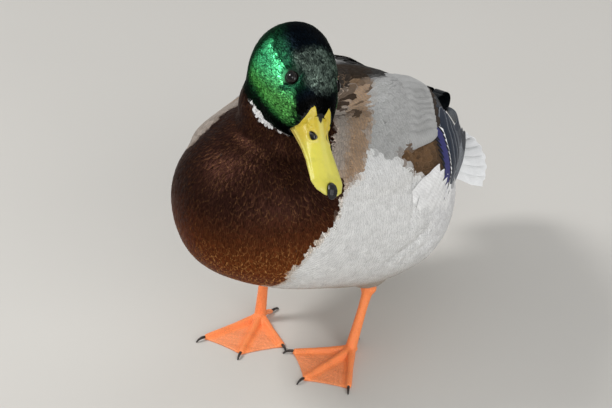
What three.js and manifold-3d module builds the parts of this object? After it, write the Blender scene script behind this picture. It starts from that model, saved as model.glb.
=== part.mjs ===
// A life-size standing mallard drake, in millimetres. +Z is up, the bird faces -Y and its left side is +X.
// It is worked out in a frame whose origin is on the floor midway between the feet, and the last lines move
// that origin to the bottom centre of the whole bird.
import * as THREE from "three";
import { mergeVertices } from "three/addons/utils/BufferGeometryUtils.js";
import Module from "manifold-3d";

const wasm = await Module();
wasm.setup();

const rad = THREE.MathUtils.degToRad;
const clamp = THREE.MathUtils.clamp;
const v3 = (x, y, z) => new THREE.Vector3(x, y, z);

const TINY = 1e-9;
const SIMPLE = 0.1; // facets flatter than this are joined

// ---- driving dimensions ----------------------------------------------------------------------------------

const GAP = 0.3; // clearance between pieces that touch
const BLADE = 1.0; // half thickness of a flight feather with its neighbours' overlap

// Head and bill. The head's own frame has its origin where the feathers meet the top of the bill.
// It is turned to the left, dipped and tipped left side down, in degrees.
const HEAD_PLACE = { x: 64.1, y: -74.9, z: 226.9, yaw: 56.2, pitch: 10.3, roll: 24.2 };
const HEAD_LENGTH = 90; // from the bill's base to the nape, feathers included
const EYE = { radius: 5.4, out: 17.4, back: 26.4, up: 10.8 };
const CULMEN = 55; // top edge of the bill, from the feathers to its tip
const BILL_ROOT = 14; // length of the bill's root inside the head
const BILL_DIP = 10.6; // degrees that the bill dips below the head's own axis
const BILL_WIDTH = 25.5; // across its broad end
const NOSTRIL = { back: -10.5, up: -6.6, length: 3.4, height: 1.5 };

// Neck. Its lower points are in the bird's frame and its upper ones in the head's. The room is the ellipsoid
// whose foot parts it from the trunk.
const NECK = {
  low: [v3(5, -40, 144), v3(8, -46, 170), v3(15, -46, 194)],
  high: [v3(0, 54, -20), v3(0, 48, -6)],
  at: [0, 0.3, 0.55, 0.78, 1],
  radius: [58, 44, 31.5, 26, 21],
};
const NECK_ROOM = { at: v3(11, -47, 210), half: v3(46, 46, 50) };

// Trunk, from the front of the breast to the root of the tail. At each y: the height of the widest level, and
// the half width and the heights above and below that level before the two ends are rounded off.
const TRUNK = {
  y: [-124, -89, -49, -4, 36, 76, 111, 146],
  level: [140, 141, 130, 115, 106, 101, 99, 104],
  wide: [50, 62, 68, 77, 81, 66, 43, 23],
  up: [50, 55, 65, 77, 91, 79, 56, 28],
  down: [54, 55, 59, 63, 59, 53, 40, 19],
};
const TRUNK_SHIFT = 6.5; // the trunk is carried a little over its left foot
const BELLY_SQUARE = 0.86; // under 1, the belly's section is squarer than an oval
const BREAST_ROUND = 62; // length over which the breast rounds off
const RUMP_ROUND = 30;
const TRUNK_RADIUS = 80; // near enough for laying feathers on it

// Masses of feathers on each side of the trunk. Their stations give y, the angle on the trunk from its side
// (0) over the back (90 degrees) and the height over its skin; wide and thick are half sizes, round the trunk and
// out from it, and root and tip are the shares of the length over which the ends round off.
const SCAPULARS = {
  stations: [[-66, 40, 1], [-29, 46, 1.5], [21, 46, 2], [80, 50, 2]],
  wide: { half: 34, root: 0.4, tip: 0.7 },
  thick: { half: 4.5, root: 0.5, tip: 0.6 },
  facets: { sides: 10, rings: 10 },
};
const TERTIALS = {
  stations: [[30, 62, 2], [60, 60, 3], [88, 58, 4], [114, 56, 4]],
  wide: { half: 19, root: 0.3, tip: 0.7 },
  thick: { half: 3, root: 0.4, tip: 0.7 },
  facets: { sides: 8, rings: 8 },
};
const WING = {
  stations: [[12, 32, 1], [46, 31, 2], [76, 34, 3], [104, 42, 3]],
  wide: { half: 21, root: 0.45, tip: 0.4 },
  thick: { half: 4.5, root: 0.5, tip: 0.5 },
  facets: { sides: 8, rings: 10 },
};
const EDGE = 2; // half thickness that these masses keep at their edges

// Tips of the primaries: where the upper and the lowest one start, pass and end, on the left of the trunk.
const PRIMARIES = {
  blades: 4,
  upper: [v3(66, 60, 144), v3(47, 106, 134), v3(8, 148, 118)],
  lowest: [v3(73, 54, 122), v3(47, 112, 111), v3(21, 160, 98)],
  half: 9,
};

// Tail.
const TAIL_ROOT = v3(6.5, 108, 103);
const TAIL = { length: 85, outer: 0.8, blades: 9, spread: 26, drop: 17, roof: 15, half: 9.5 };
const CURL = { radius: 8.5, out: 6.5, y: 144, z: 127, half: 6, turn: 250 }; // curled tail coverts of a drake

// Legs. Toes are measured without their claws.
const STANCE = 77; // between the feet, sole to sole
const TARSUS = 36.5; // bare shank, from the root of the toes up to the ankle
const SOLE = 5.5; // height of a toe at its root
const TOES = { inner: 41, middle: 50, outer: 48, hind: 12 };
const CLAW = 7;
const WEB = 1.3; // thickness of the web

// ---- small tools for shapes ------------------------------------------------------------------------------

// A smooth curve of values over stations, as a function of the station's coordinate.
function smooth(at, values) {
  const curve = new THREE.SplineCurve(at.map((a, i) => new THREE.Vector2(a, values[i])));
  const last = at.length - 1;
  return (a) => {
    const inside = clamp(a, at[0], at[last]);
    let i = 0;
    while (i < last - 1 && inside > at[i + 1]) i += 1;
    return curve.getPoint((i + (inside - at[i]) / (at[i + 1] - at[i])) / last).y;
  };
}

// The smooth curves of a table of stations: one function of y for each of its rows.
function profile(table) {
  const rows = Object.entries(table).filter(([key]) => key !== "y");
  return Object.fromEntries(rows.map(([key, values]) => [key, smooth(table.y, values)]));
}

// 0 at a rounded end, rising to 1 as a quarter circle over the given length.
const roundEnd = (from, length) => Math.sqrt(1 - (1 - clamp(from / length, 0, 1)) ** 2);

// Steps from 0 to 1 that crowd together at both ends.
const crowded = (t) => (1 - Math.cos(Math.PI * t)) / 2;

// A form like a leaf: its half width at t, full over the middle, rounded at the root and drawn to a tip.
const leaf = (half, root, tip) => (t) => half * roundEnd(t, root) * roundEnd(1 - t, tip);

// A power that keeps its sign.
const signedPower = (x, p) => Math.sign(x) * Math.abs(x) ** p;

// The solid of a three.js geometry, with its faces turned outwards.
function solidOf(geometry) {
  for (const name of ["normal", "uv"]) geometry.deleteAttribute(name);
  const merged = mergeVertices(geometry, 1e-4);
  const index = Array.from(merged.index.array);
  const make = () =>
    new wasm.Manifold(
      new wasm.Mesh({
        numProp: 3,
        vertProperties: new Float32Array(merged.getAttribute("position").array),
        triVerts: new Uint32Array(index),
      }),
    );
  const made = make();
  if (made.volume() > 0) return made;
  for (let i = 0; i < index.length; i += 3) [index[i + 1], index[i + 2]] = [index[i + 2], index[i + 1]];
  return make();
}

// A sphere's grid drawn over a form: place(t, angle) is the point at t along the form and at angle round it,
// and closes to one point at t = 0 and at t = 1.
function drawOver(place, sides, rings) {
  const grid = new THREE.SphereGeometry(1, sides, rings);
  const position = grid.getAttribute("position");
  const uv = grid.getAttribute("uv");
  for (let i = 0; i < position.count; i += 1) {
    const ring = Math.floor(i / (sides + 1));
    const pole = ring === 0 || ring === rings;
    const turn = pole ? 0 : (Math.round(uv.getX(i) * sides) % sides) / sides;
    position.setXYZ(i, ...place(crowded(1 - ring / rings), turn * 2 * Math.PI).toArray());
  }
  return solidOf(grid);
}

// A form swept along a path, oval in section: wide(t) is its half width across the path, thick(t) its half
// thickness along facing(t), which points away from its flat side. grow adds a clearance all round.
function sweep({ path, facing, wide, thick, sides, rings, grow = 0 }) {
  return drawOver(
    (t, angle) => {
      const ahead = path.getTangent(t);
      const point = path.getPoint(t);
      if (t === 0 || t === 1) return point.addScaledVector(ahead, t === 0 ? -grow : grow);
      const up = facing(t);
      const out = up.clone().addScaledVector(ahead, -up.dot(ahead)).normalize();
      const across = v3(0, 0, 0).crossVectors(ahead, out);
      point.addScaledVector(across, Math.cos(angle) * (wide(t) + grow));
      return point.addScaledVector(out, Math.sin(angle) * (thick(t) + grow));
    },
    sides,
    rings,
  );
}

const pathThrough = (...points) => new THREE.CatmullRomCurve3(points, false, "centripetal");
const join = (...solids) => solids.reduce((all, s) => all.add(s));
const less = (solid, ...cutters) => cutters.reduce((left, c) => left.subtract(c), solid);

// The largest single piece of a solid, without the crumbs that a cut can leave.
const largest = (solid) => solid.decompose().reduce((best, s) => (s.volume() > best.volume() ? s : best));

// ---- trunk -----------------------------------------------------------------------------------------------

const trunkAt = profile(TRUNK);
const BREAST_Y = TRUNK.y[0];
const RUMP_Y = TRUNK.y[TRUNK.y.length - 1];

// A point of the trunk's skin at y and at an angle from its left side (0) over the back (90 degrees), moved
// out by grow.
function trunkPoint(y, angle, grow = 0) {
  const ends = roundEnd(y - BREAST_Y, BREAST_ROUND) * roundEnd(RUMP_Y - y, RUMP_ROUND);
  const above = Math.sin(angle) > 0;
  const square = above ? 1 : BELLY_SQUARE;
  const rise = above ? trunkAt.up(y) : trunkAt.down(y);
  return v3(
    TRUNK_SHIFT + signedPower(Math.cos(angle), square) * (trunkAt.wide(y) * ends + grow),
    y,
    trunkAt.level(y) + signedPower(Math.sin(angle), square) * (rise * ends + grow),
  );
}

function makeTrunk(grow = 0) {
  const along = (t) => BREAST_Y + (RUMP_Y - BREAST_Y) * t;
  return drawOver(
    (t, angle) => trunkPoint(along(t), angle, grow).add(v3(0, grow * (2 * t - 1), 0)),
    22,
    18,
  );
}

// A mass of feathers lying on one side of the trunk and bent over it. side is +1 for the bird's left and -1 for
// its right.
function layOnTrunk(mass, side, grow) {
  const middle = pathThrough(...mass.stations.map(([y, angle, height]) => v3(y, rad(angle), height)));
  const wide = leaf(mass.wide.half, mass.wide.root, mass.wide.tip);
  const thick = leaf(mass.thick.half, mass.thick.root, mass.thick.tip);
  return drawOver(
    (t, angle) => {
      const { x: y, y: station, z: height } = middle.getPoint(t);
      const end = t === 0 || t === 1;
      const reach = end ? 0 : (signedPower(Math.cos(angle), 0.8) * (wide(t) + grow)) / TRUNK_RADIUS;
      const out = end ? 0 : signedPower(Math.sin(angle), 0.6) * (EDGE + thick(t) + grow);
      const round = station + reach;
      return trunkPoint(y + (end ? grow * (2 * t - 1) : 0), side > 0 ? round : Math.PI - round, height + out);
    },
    mass.facets.sides,
    mass.facets.rings,
  );
}

// ---- head and neck ---------------------------------------------------------------------------------------

const headFrame = new THREE.Matrix4()
  .makeTranslation(HEAD_PLACE.x, HEAD_PLACE.y, HEAD_PLACE.z)
  .multiply(new THREE.Matrix4().makeRotationZ(rad(HEAD_PLACE.yaw)))
  .multiply(new THREE.Matrix4().makeRotationX(rad(HEAD_PLACE.pitch)))
  .multiply(new THREE.Matrix4().makeRotationY(rad(HEAD_PLACE.roll)));
const inHead = (x, y, z) => v3(x, y, z).applyMatrix4(headFrame);

// The head behind the bill's base, in its own frame: -y is forwards, z = 0 is the level of the bill's base.
const CRANIUM = {
  y: [-3, 8, 20, 35, 51, 67, HEAD_LENGTH],
  level: [-6, -5.7, -4.8, -3.2, -1.6, -0.6, -0.6],
  wide: [11, 16, 22, 25.8, 26.2, 25.4, 20.3],
  up: [7, 16.7, 26.5, 33.4, 35.4, 32.4, 23.6],
  down: [11, 18.1, 24.7, 31.2, 35.5, 35.5, 30.1],
};
const MUZZLE_ROUND = 7;
const NAPE_ROUND = 30.6;

function makeCranium(grow = 0) {
  const at = profile(CRANIUM);
  const front = CRANIUM.y[0];
  return drawOver(
    (t, angle) => {
      const y = front + (HEAD_LENGTH - front) * t;
      const ends = roundEnd(y - front, MUZZLE_ROUND) * roundEnd(HEAD_LENGTH - y, NAPE_ROUND);
      const rise = Math.sin(angle) > 0 ? at.up(y) : at.down(y);
      return inHead(
        Math.cos(angle) * (at.wide(y) * ends + grow),
        y + grow * (2 * t - 1),
        at.level(y) + Math.sin(angle) * (rise * ends + grow),
      );
    },
    18,
    12,
  );
}

function makeEye(side, grow = 0) {
  const ball = new THREE.SphereGeometry(EYE.radius + grow, 10, 7);
  return solidOf(ball.translate(...inHead(side * EYE.out, EYE.back, EYE.up).toArray()));
}

// The neck runs from inside the trunk to inside the head, and flares down into the breast.
function makeNeck() {
  const radius = smooth(NECK.at, NECK.radius);
  const girth = (t) => radius(t) * roundEnd(t, 0.1) * roundEnd(1 - t, 0.1);
  return sweep({
    path: pathThrough(...NECK.low, ...NECK.high.map((point) => inHead(...point.toArray()))),
    facing: () => v3(0, -1, 0),
    wide: girth,
    thick: girth,
    sides: 16,
    rings: 11,
  });
}

function makeNeckRoom(grow = 0) {
  const half = NECK_ROOM.half.clone().addScalar(grow);
  const room = new THREE.SphereGeometry(1, 16, 10).scale(half.x, half.y, half.z);
  return solidOf(room.translate(...NECK_ROOM.at.toArray()));
}

// ---- bill ------------------------------------------------------------------------------------------------

const billFrame = headFrame.clone().multiply(new THREE.Matrix4().makeRotationX(rad(BILL_DIP)));
const inBill = (x, y, z) => v3(x, y, z).applyMatrix4(billFrame);
const billUp = inBill(0, 0, 1).sub(inBill(0, 0, 0));

// The bill from its tip to its root inside the head: half width, height of its top edge and of its mouth line.
const BILL = {
  y: [-CULMEN, -47, -37, -25, -12, 0, BILL_ROOT],
  wide: [0.8, 1, 0.97, 0.88, 0.8, 0.83, 0.93].map((share) => (share * BILL_WIDTH) / 2),
  top: [-12.5, -11, -9.6, -7.6, -4.2, 0, 3],
  mouth: [-16.5, -16.5, -15.5, -15, -16, -17.5, -19],
};
const billAt = profile(BILL);
const BILL_TIP_ROUND = 12;
const JAW_SHORT = 4; // the lower half ends inside the upper one's tip

// Half of the bill. rise(y) is its height over the mouth line, and is negative for the lower half.
function makeMandible({ rise, tip, sides, rings, grow = 0 }) {
  return drawOver(
    (t, angle) => {
      const y = -tip + (BILL_ROOT + tip) * t;
      const mouth = billAt.mouth(y);
      const rounded = roundEnd(y + tip, BILL_TIP_ROUND);
      const along = y + grow * (2 * t - 1);
      if (t === 0 || t === 1) return inBill(0, along, mouth + rise(y) * 0.2);
      const s = Math.abs(Math.sin(angle)) < TINY ? 0 : Math.sin(angle);
      const outer = s > 0 ? rise(y) * (0.35 + 0.65 * rounded) * s ** 0.85 : 0;
      return inBill(
        Math.cos(angle) * (billAt.wide(y) * rounded + grow),
        along,
        mouth + outer + grow * Math.sign(s * rise(y)),
      );
    },
    sides,
    rings,
  );
}

const makeUpperBill = (grow) =>
  makeMandible({ rise: (y) => billAt.top(y) - billAt.mouth(y), tip: CULMEN, sides: 14, rings: 11, grow });
const jawDepth = (y) => 2.6 + (1.6 * (y + CULMEN)) / CULMEN;
const makeLowerBill = (grow) =>
  makeMandible({ rise: (y) => -jawDepth(y), tip: CULMEN - JAW_SHORT, sides: 10, rings: 9, grow });

// A prong of the bill's base runs up the face on each side of the forehead's feathers.
function makeProng(side, grow = 0) {
  return sweep({
    path: pathThrough(
      inHead(side * 6.5, -5, -6.3),
      inHead(side * 6.5, -1, -2.8),
      inHead(side * 6.2, 2, 2.6),
      inHead(side * 5.6, 4.4, 5.8),
    ),
    facing: () => inHead(side * 0.35, -0.6, 0.7).sub(inHead(0, 0, 0)),
    wide: (t) => 3.4 * (1 - 0.7 * t) * roundEnd(t, 0.2) * roundEnd(1 - t, 0.2),
    thick: (t) => 1.5 * (1 - 0.3 * t) * roundEnd(t, 0.2) * roundEnd(1 - t, 0.2),
    sides: 6,
    rings: 7,
    grow,
  });
}

function makeNail(grow = 0) {
  const tip = -CULMEN;
  return sweep({
    path: pathThrough(inBill(0, tip + 9, -11.6), inBill(0, tip + 3, -12.6), inBill(0, tip - 1.6, -16.8)),
    facing: () => billUp,
    wide: leaf(4, 0.5, 0.4),
    thick: leaf(2.4, 0.4, 0.5),
    sides: 8,
    rings: 6,
    grow,
  });
}

// One passage joins the two nostrils, from side to side of the bill.
function makeNostrilHole() {
  const hole = new THREE.SphereGeometry(1, 8, 6).scale(BILL_WIDTH / 2, NOSTRIL.length, NOSTRIL.height);
  hole.translate(0, NOSTRIL.back, NOSTRIL.up).applyMatrix4(billFrame);
  return solidOf(hole);
}

// ---- wings -----------------------------------------------------------------------------------------------

const makeScapulars = (side, grow = 0) => layOnTrunk(SCAPULARS, side, grow);
const makeTertials = (side, grow = 0) => layOnTrunk(TERTIALS, side, grow);
const makeWing = (side, grow = 0) => layOnTrunk(WING, side, grow);

// The tips of the primaries are stacked and run back towards the tail, each a little short of the one above.
function makePrimaries(side, grow = 0) {
  const blades = [];
  for (let i = 0; i < PRIMARIES.blades; i += 1) {
    const step = i / (PRIMARIES.blades - 1);
    const points = PRIMARIES.upper.map((point, k) => {
      const { x, y, z } = point.clone().lerp(PRIMARIES.lowest[k], step);
      return v3(TRUNK_SHIFT + side * x, y, z);
    });
    blades.push(
      sweep({
        path: pathThrough(...points),
        facing: () => v3(side * 0.9, 0.35, 0.25),
        wide: leaf(PRIMARIES.half, 0.25, 0.45),
        thick: leaf(1.6 * BLADE, 0.2, 0.3),
        sides: 6,
        rings: 6,
        grow,
      }),
    );
  }
  return join(...blades);
}

// ---- tail ------------------------------------------------------------------------------------------------

// A blade of the fan at a share of the spread, from -1 (right) to 1 (left). The middle blades lie on top.
function tailBlade(share, grow) {
  const yaw = rad(TAIL.spread) * share;
  const drop = rad(TAIL.drop + TAIL.roof * share * share);
  const length = TAIL.length * (1 - (1 - TAIL.outer) * Math.abs(share) ** 1.5);
  const along = v3(Math.sin(yaw) * Math.cos(drop), Math.cos(yaw) * Math.cos(drop), -Math.sin(drop));
  const root = TAIL_ROOT.clone().add(v3(share * 10, 0, -3 * Math.abs(share)));
  const at = (distance, lift) => root.clone().addScaledVector(along, distance).add(v3(0, 0, lift));
  return sweep({
    path: pathThrough(at(0, 0), at(length * 0.5, 1), at(length, 0)),
    facing: () => v3(0.9 * share, 0.2, 1),
    wide: leaf(TAIL.half, 0.2, 0.2),
    thick: leaf(BLADE, 0.15, 0.15),
    sides: 6,
    rings: 5,
    grow,
  });
}

function makeTail(grow = 0) {
  const blades = [];
  for (let i = 0; i < TAIL.blades; i += 1) blades.push(tailBlade((2 * i) / (TAIL.blades - 1) - 1, grow));
  return join(...blades);
}

// The curled covert on one side runs back over the rump, rises and rolls forward over itself.
function makeCurl(side, grow = 0) {
  const points = [v3(TRUNK_SHIFT + side * 9, 110, 126), v3(TRUNK_SHIFT + side * 8, 131, 118)];
  const centre = v3(TRUNK_SHIFT + side * CURL.out, CURL.y, CURL.z);
  const steps = 7;
  for (let i = 0; i <= steps; i += 1) {
    const angle = rad(-85 + (i * CURL.turn) / steps);
    const radius = CURL.radius * (1 - (0.35 * i) / steps);
    points.push(centre.clone().add(v3(0, Math.cos(angle) * radius, Math.sin(angle) * radius)));
  }
  const path = pathThrough(...points);
  return sweep({
    path,
    facing: (t) => v3(0, 0, 0).crossVectors(path.getTangent(t), v3(side, 0, 0)),
    wide: leaf(CURL.half, 0.15, 0.35),
    thick: leaf(BLADE, 0.1, 0.15),
    sides: 6,
    rings: 18,
    grow,
  });
}

// ---- legs ------------------------------------------------------------------------------------------------

// Each foot stands with the root of its toes over a point of the floor. turn is the bearing of its middle toe
// and spread those of the others from it, in degrees. lean is where the ankle stands over that root.
const LEGS = {
  left: { side: 1, turn: -7, lean: v3(3, 14, TARSUS), spread: { inner: 46, outer: 39 } },
  right: { side: -1, turn: 19, lean: v3(0, 6, TARSUS), spread: { inner: 38, outer: 39 } },
};

// Toes by their bearing from straight ahead: the inner toe is on the side of the other foot.
function bearings(leg) {
  return {
    inner: leg.turn - leg.side * leg.spread.inner,
    middle: leg.turn,
    outer: leg.turn + leg.side * leg.spread.outer,
    hind: leg.turn + 180 + leg.side * 25,
  };
}

const footRoot = (leg) => v3((leg.side * STANCE) / 2, 0, 0);
const ankleOf = (leg) => footRoot(leg).add(leg.lean).add(v3(0, 0, SOLE));

function footPoint(leg, bearing, distance, height) {
  const angle = rad(bearing);
  return footRoot(leg).add(v3(Math.sin(angle) * distance, -Math.cos(angle) * distance, height));
}

// A front toe: thickened at its joints, thinner towards the claw.
function makeToe(leg, bearing, length) {
  const joints = (t) => 1 + 0.12 * Math.cos(6 * Math.PI * t);
  const ends = (t) => roundEnd(t, 0.08) * roundEnd(1 - t, 0.06);
  return sweep({
    path: pathThrough(
      footPoint(leg, bearing, -5, SOLE * 0.55),
      footPoint(leg, bearing, length * 0.3, SOLE * 0.42),
      footPoint(leg, bearing, length * 0.65, SOLE * 0.36),
      footPoint(leg, bearing, length + 2, SOLE * 0.3),
    ),
    facing: () => v3(0, 0, 1),
    wide: (t) => (3.3 - 1.3 * t) * joints(t) * ends(t),
    thick: (t) => (3.4 - 1.5 * t) * joints(t) * ends(t),
    sides: 6,
    rings: 6,
  });
}

function makeHindToe(leg, bearing) {
  return sweep({
    path: pathThrough(
      footPoint(leg, bearing, -2, SOLE),
      footPoint(leg, bearing, TOES.hind * 0.5, SOLE * 0.55),
      footPoint(leg, bearing, TOES.hind + 1, 1.1),
    ),
    facing: () => v3(0, 0, 1),
    wide: leaf(1.9, 0.2, 0.2),
    thick: leaf(1.9, 0.2, 0.2),
    sides: 6,
    rings: 5,
  });
}

// The web between two toes: flat on the floor, with its front edge drawn in between the claws.
function makeWeb(leg, first, second) {
  const [a, b] = [first, second].map((toe) => footPoint(leg, toe.bearing, toe.length * 0.99, 0));
  const root = footRoot(leg);
  const draw = a.clone().add(b).multiplyScalar(0.5).lerp(root, 0.05);
  const outline = new THREE.Shape();
  outline.moveTo(root.x, root.y);
  outline.lineTo(a.x, a.y);
  outline.quadraticCurveTo(draw.x, draw.y, b.x, b.y);
  outline.closePath();
  return solidOf(new THREE.ExtrudeGeometry(outline, { depth: WEB, bevelEnabled: false, curveSegments: 4 }));
}

// Toes and webs, cut flat by the floor.
function makeFoot(leg) {
  const bearing = bearings(leg);
  const front = ["inner", "middle", "outer"].map((name) => ({ bearing: bearing[name], length: TOES[name] }));
  const foot = join(
    ...front.map((toe) => makeToe(leg, toe.bearing, toe.length)),
    makeWeb(leg, front[0], front[1]),
    makeWeb(leg, front[1], front[2]),
    makeHindToe(leg, bearing.hind),
  );
  return foot.trimByPlane([0, 0, 1], 0);
}

function makeTarsus(leg, grow = 0) {
  const ankle = ankleOf(leg);
  const foot = footRoot(leg).add(v3(0, -1, SOLE * 0.8));
  const knuckle = (t) => Math.exp(-(((t - 0.17) / 0.13) ** 2));
  return sweep({
    path: pathThrough(ankle.clone().lerp(foot, -0.22), ankle, ankle.clone().lerp(foot, 0.5), foot),
    facing: () => v3(0, -1, 0),
    wide: (t) => (2.9 + 3.2 * knuckle(t) + 1.2 * t ** 3) * roundEnd(t, 0.1),
    thick: (t) => (3.7 + 2.6 * knuckle(t) + 0.6 * t ** 3) * roundEnd(t, 0.1),
    sides: 8,
    rings: 10,
    grow,
  });
}

// The feathered thigh comes out of the belly and ends at the top of the ankle.
function makeThigh(leg) {
  return sweep({
    path: pathThrough(
      v3(TRUNK_SHIFT + leg.side * 34, 8, 84),
      ankleOf(leg).add(v3(-leg.side, 1, 18)),
      ankleOf(leg).add(v3(0, 0, 5)),
    ),
    facing: () => v3(0, -1, 0),
    wide: (t) => (24 - 13 * t) * roundEnd(t, 0.2) * roundEnd(1 - t, 0.25),
    thick: (t) => (28 - 15 * t) * roundEnd(t, 0.2) * roundEnd(1 - t, 0.25),
    sides: 10,
    rings: 7,
  });
}

// A claw curves down to the floor from the end of its toe.
function makeClaw(leg, toe, grow = 0) {
  const bearing = bearings(leg)[toe];
  const length = TOES[toe];
  const height = toe === "hind" ? 1.5 : 2.1;
  const claw = sweep({
    path: pathThrough(
      footPoint(leg, bearing, length - 1.5, height),
      footPoint(leg, bearing, length + CLAW * 0.5, height + 0.2),
      footPoint(leg, bearing, length + CLAW, 0),
    ),
    facing: () => v3(0, 0, 1),
    wide: (t) => leaf(1.3, 0.2, 0.15)(t) * (1 - 0.5 * t),
    thick: (t) => leaf(1.4, 0.2, 0.15)(t) * (1 - 0.5 * t),
    sides: 6,
    rings: 5,
    grow,
  });
  return claw.trimByPlane([0, 0, 1], -grow);
}

// ---- the bird --------------------------------------------------------------------------------------------

const finish = (color, roughness, metalness = 0) =>
  new THREE.MeshStandardMaterial({ color, roughness, metalness });
const FINISHES = {
  green: finish("#0f4a2c", 0.35, 0.3),
  chestnut: finish("#4a2416", 0.6),
  grey: finish("#c3bfb8", 0.8),
  brown: finish("#5a4636", 0.75),
  slate: finish("#3c424c", 0.7),
  white: finish("#f1f0ec", 0.8),
  black: finish("#101316", 0.45),
  bill: finish("#c9bd3c", 0.4),
  horn: finish("#23272a", 0.35),
  orange: finish("#ee6f2d", 0.5),
  eye: finish("#1a0f0a", 0.05),
};

const bird = new THREE.Group();

// Adds a solid to a group as a named mesh, placed by the middle of its own box.
function add(group, name, solid, material) {
  const mesh = largest(solid).simplify(SIMPLE).getMesh();
  const geometry = new THREE.BufferGeometry();
  geometry.setAttribute("position", new THREE.BufferAttribute(new Float32Array(mesh.vertProperties), 3));
  geometry.setIndex(new THREE.BufferAttribute(new Uint32Array(mesh.triVerts), 1));
  geometry.computeVertexNormals();
  geometry.computeBoundingBox();
  const middle = geometry.boundingBox.getCenter(v3(0, 0, 0));
  geometry.translate(-middle.x, -middle.y, -middle.z);
  const piece = new THREE.Mesh(geometry, material);
  piece.name = name;
  piece.position.copy(middle);
  group.add(piece);
}

// A named group within the bird.
function newGroup(name) {
  const group = new THREE.Group();
  group.name = name;
  bird.add(group);
  return group;
}

// Body: the trunk is whole, and what lies on it is cut clear of it.
const body = newGroup("body");
const trunkRoom = makeTrunk(GAP);
const torsoRoom = join(trunkRoom, makeNeck());
const headRoom = makeCranium(GAP);
const torso = join(makeTrunk(), makeNeck());
add(body, "trunk", less(torso, makeNeckRoom(GAP), headRoom), FINISHES.grey);
add(body, "neck", less(torso.intersect(makeNeckRoom()), headRoom), FINISHES.chestnut);

// Head and bill.
const face = newGroup("face");
const prongs = (grow) => join(makeProng(1, grow), makeProng(-1, grow));
const billRoom = join(makeUpperBill(GAP), makeLowerBill(GAP), prongs(GAP));
add(face, "head", less(makeCranium(), billRoom, makeEye(1, GAP), makeEye(-1, GAP)), FINISHES.green);
add(face, "eye_left", makeEye(1), FINISHES.eye);
add(face, "eye_right", makeEye(-1), FINISHES.eye);
add(face, "bill_nail", makeNail(), FINISHES.horn);
const upperBill = join(makeUpperBill(), prongs(0));
add(face, "bill_upper", less(upperBill, makeNail(GAP), makeNostrilHole()), FINISHES.bill);
add(face, "bill_lower", less(makeLowerBill(), makeUpperBill(GAP), makeNail(GAP)), FINISHES.bill);

for (const [name, leg] of Object.entries(LEGS)) {
  const side = leg.side;

  // Wing: its masses of feathers lie over each other from the scapulars down.
  const wing = newGroup(`folded_wing_${name}`);
  const scapularRoom = join(torsoRoom, makeScapulars(side, GAP));
  const tertialRoom = join(scapularRoom, makeTertials(side, GAP));
  const wingRoom = join(tertialRoom, makeWing(side, GAP));
  add(wing, `scapulars_${name}`, less(makeScapulars(side), torsoRoom), FINISHES.grey);
  add(wing, `tertials_${name}`, less(makeTertials(side), scapularRoom), FINISHES.brown);
  add(wing, `wing_${name}`, less(makeWing(side), tertialRoom), FINISHES.slate);
  add(wing, `primaries_${name}`, less(makePrimaries(side), wingRoom), FINISHES.slate);
  add(body, `tail_curl_${name}`, less(makeCurl(side), wingRoom, makePrimaries(side, GAP)), FINISHES.black);

  // Leg.
  const limb = newGroup(`leg_${name}`);
  const shankRoom = makeTarsus(leg, GAP);
  const toes = Object.keys(TOES);
  add(limb, `thigh_${name}`, less(makeThigh(leg), shankRoom, trunkRoom), FINISHES.grey);
  add(limb, `tarsus_${name}`, less(makeTarsus(leg), trunkRoom), FINISHES.orange);
  const clawRooms = toes.map((toe) => makeClaw(leg, toe, GAP));
  add(limb, `foot_${name}`, less(makeFoot(leg), shankRoom, ...clawRooms), FINISHES.orange);
  toes.forEach((toe) => add(limb, `claw_${toe}_${name}`, makeClaw(leg, toe), FINISHES.horn));
}

const overTail = [1, -1].flatMap((side) => [makeCurl(side, GAP), makePrimaries(side, GAP)]);
add(body, "tail", less(makeTail(), trunkRoom, ...overTail), FINISHES.white);

// The origin goes to the bottom centre of the whole bird.
const box = new THREE.Box3().setFromObject(bird);
const centre = box.getCenter(v3(0, 0, 0));
bird.position.set(-centre.x, -centre.y, -box.min.z);

export default bird;
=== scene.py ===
"""A standing mallard drake at life size: skin, bill, legs, eyes and a coat of mesh feathers over its solids.

Shapes are worked out in millimetres in the bird's own frame: the origin is on the floor midway between the
feet, the bird faces -Y and its left side is +X.
"""

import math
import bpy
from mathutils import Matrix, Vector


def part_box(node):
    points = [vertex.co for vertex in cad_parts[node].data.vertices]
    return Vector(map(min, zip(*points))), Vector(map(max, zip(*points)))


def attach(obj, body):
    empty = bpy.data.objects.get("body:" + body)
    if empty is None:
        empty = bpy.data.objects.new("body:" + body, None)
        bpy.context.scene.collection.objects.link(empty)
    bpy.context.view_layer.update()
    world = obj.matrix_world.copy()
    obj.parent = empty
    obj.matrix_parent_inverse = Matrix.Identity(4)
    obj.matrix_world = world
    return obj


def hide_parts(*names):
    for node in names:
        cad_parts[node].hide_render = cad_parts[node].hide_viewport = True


bl_info = {
    "name": "Mallard Drake",
    "version": (1, 0, 0),
    "blender": (4, 5, 0),
    "location": "3D View > Sidebar > Mallard",
    "description": "Dresses the solids of a standing mallard drake in skin, bill, legs, eyes and feathers",
    "category": "Add Mesh",
}

import bpy
import numpy as np
from mathutils import Matrix, Vector, kdtree
from mathutils.bvhtree import BVHTree

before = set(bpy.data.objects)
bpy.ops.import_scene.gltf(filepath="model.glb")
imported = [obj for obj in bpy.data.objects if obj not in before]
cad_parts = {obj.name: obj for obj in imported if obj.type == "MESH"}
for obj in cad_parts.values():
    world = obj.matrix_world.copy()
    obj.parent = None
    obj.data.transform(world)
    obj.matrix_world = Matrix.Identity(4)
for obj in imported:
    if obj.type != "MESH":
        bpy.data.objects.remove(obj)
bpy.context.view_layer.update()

# ---- the bird's own frame --------------------------------------------------------------------------------

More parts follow.
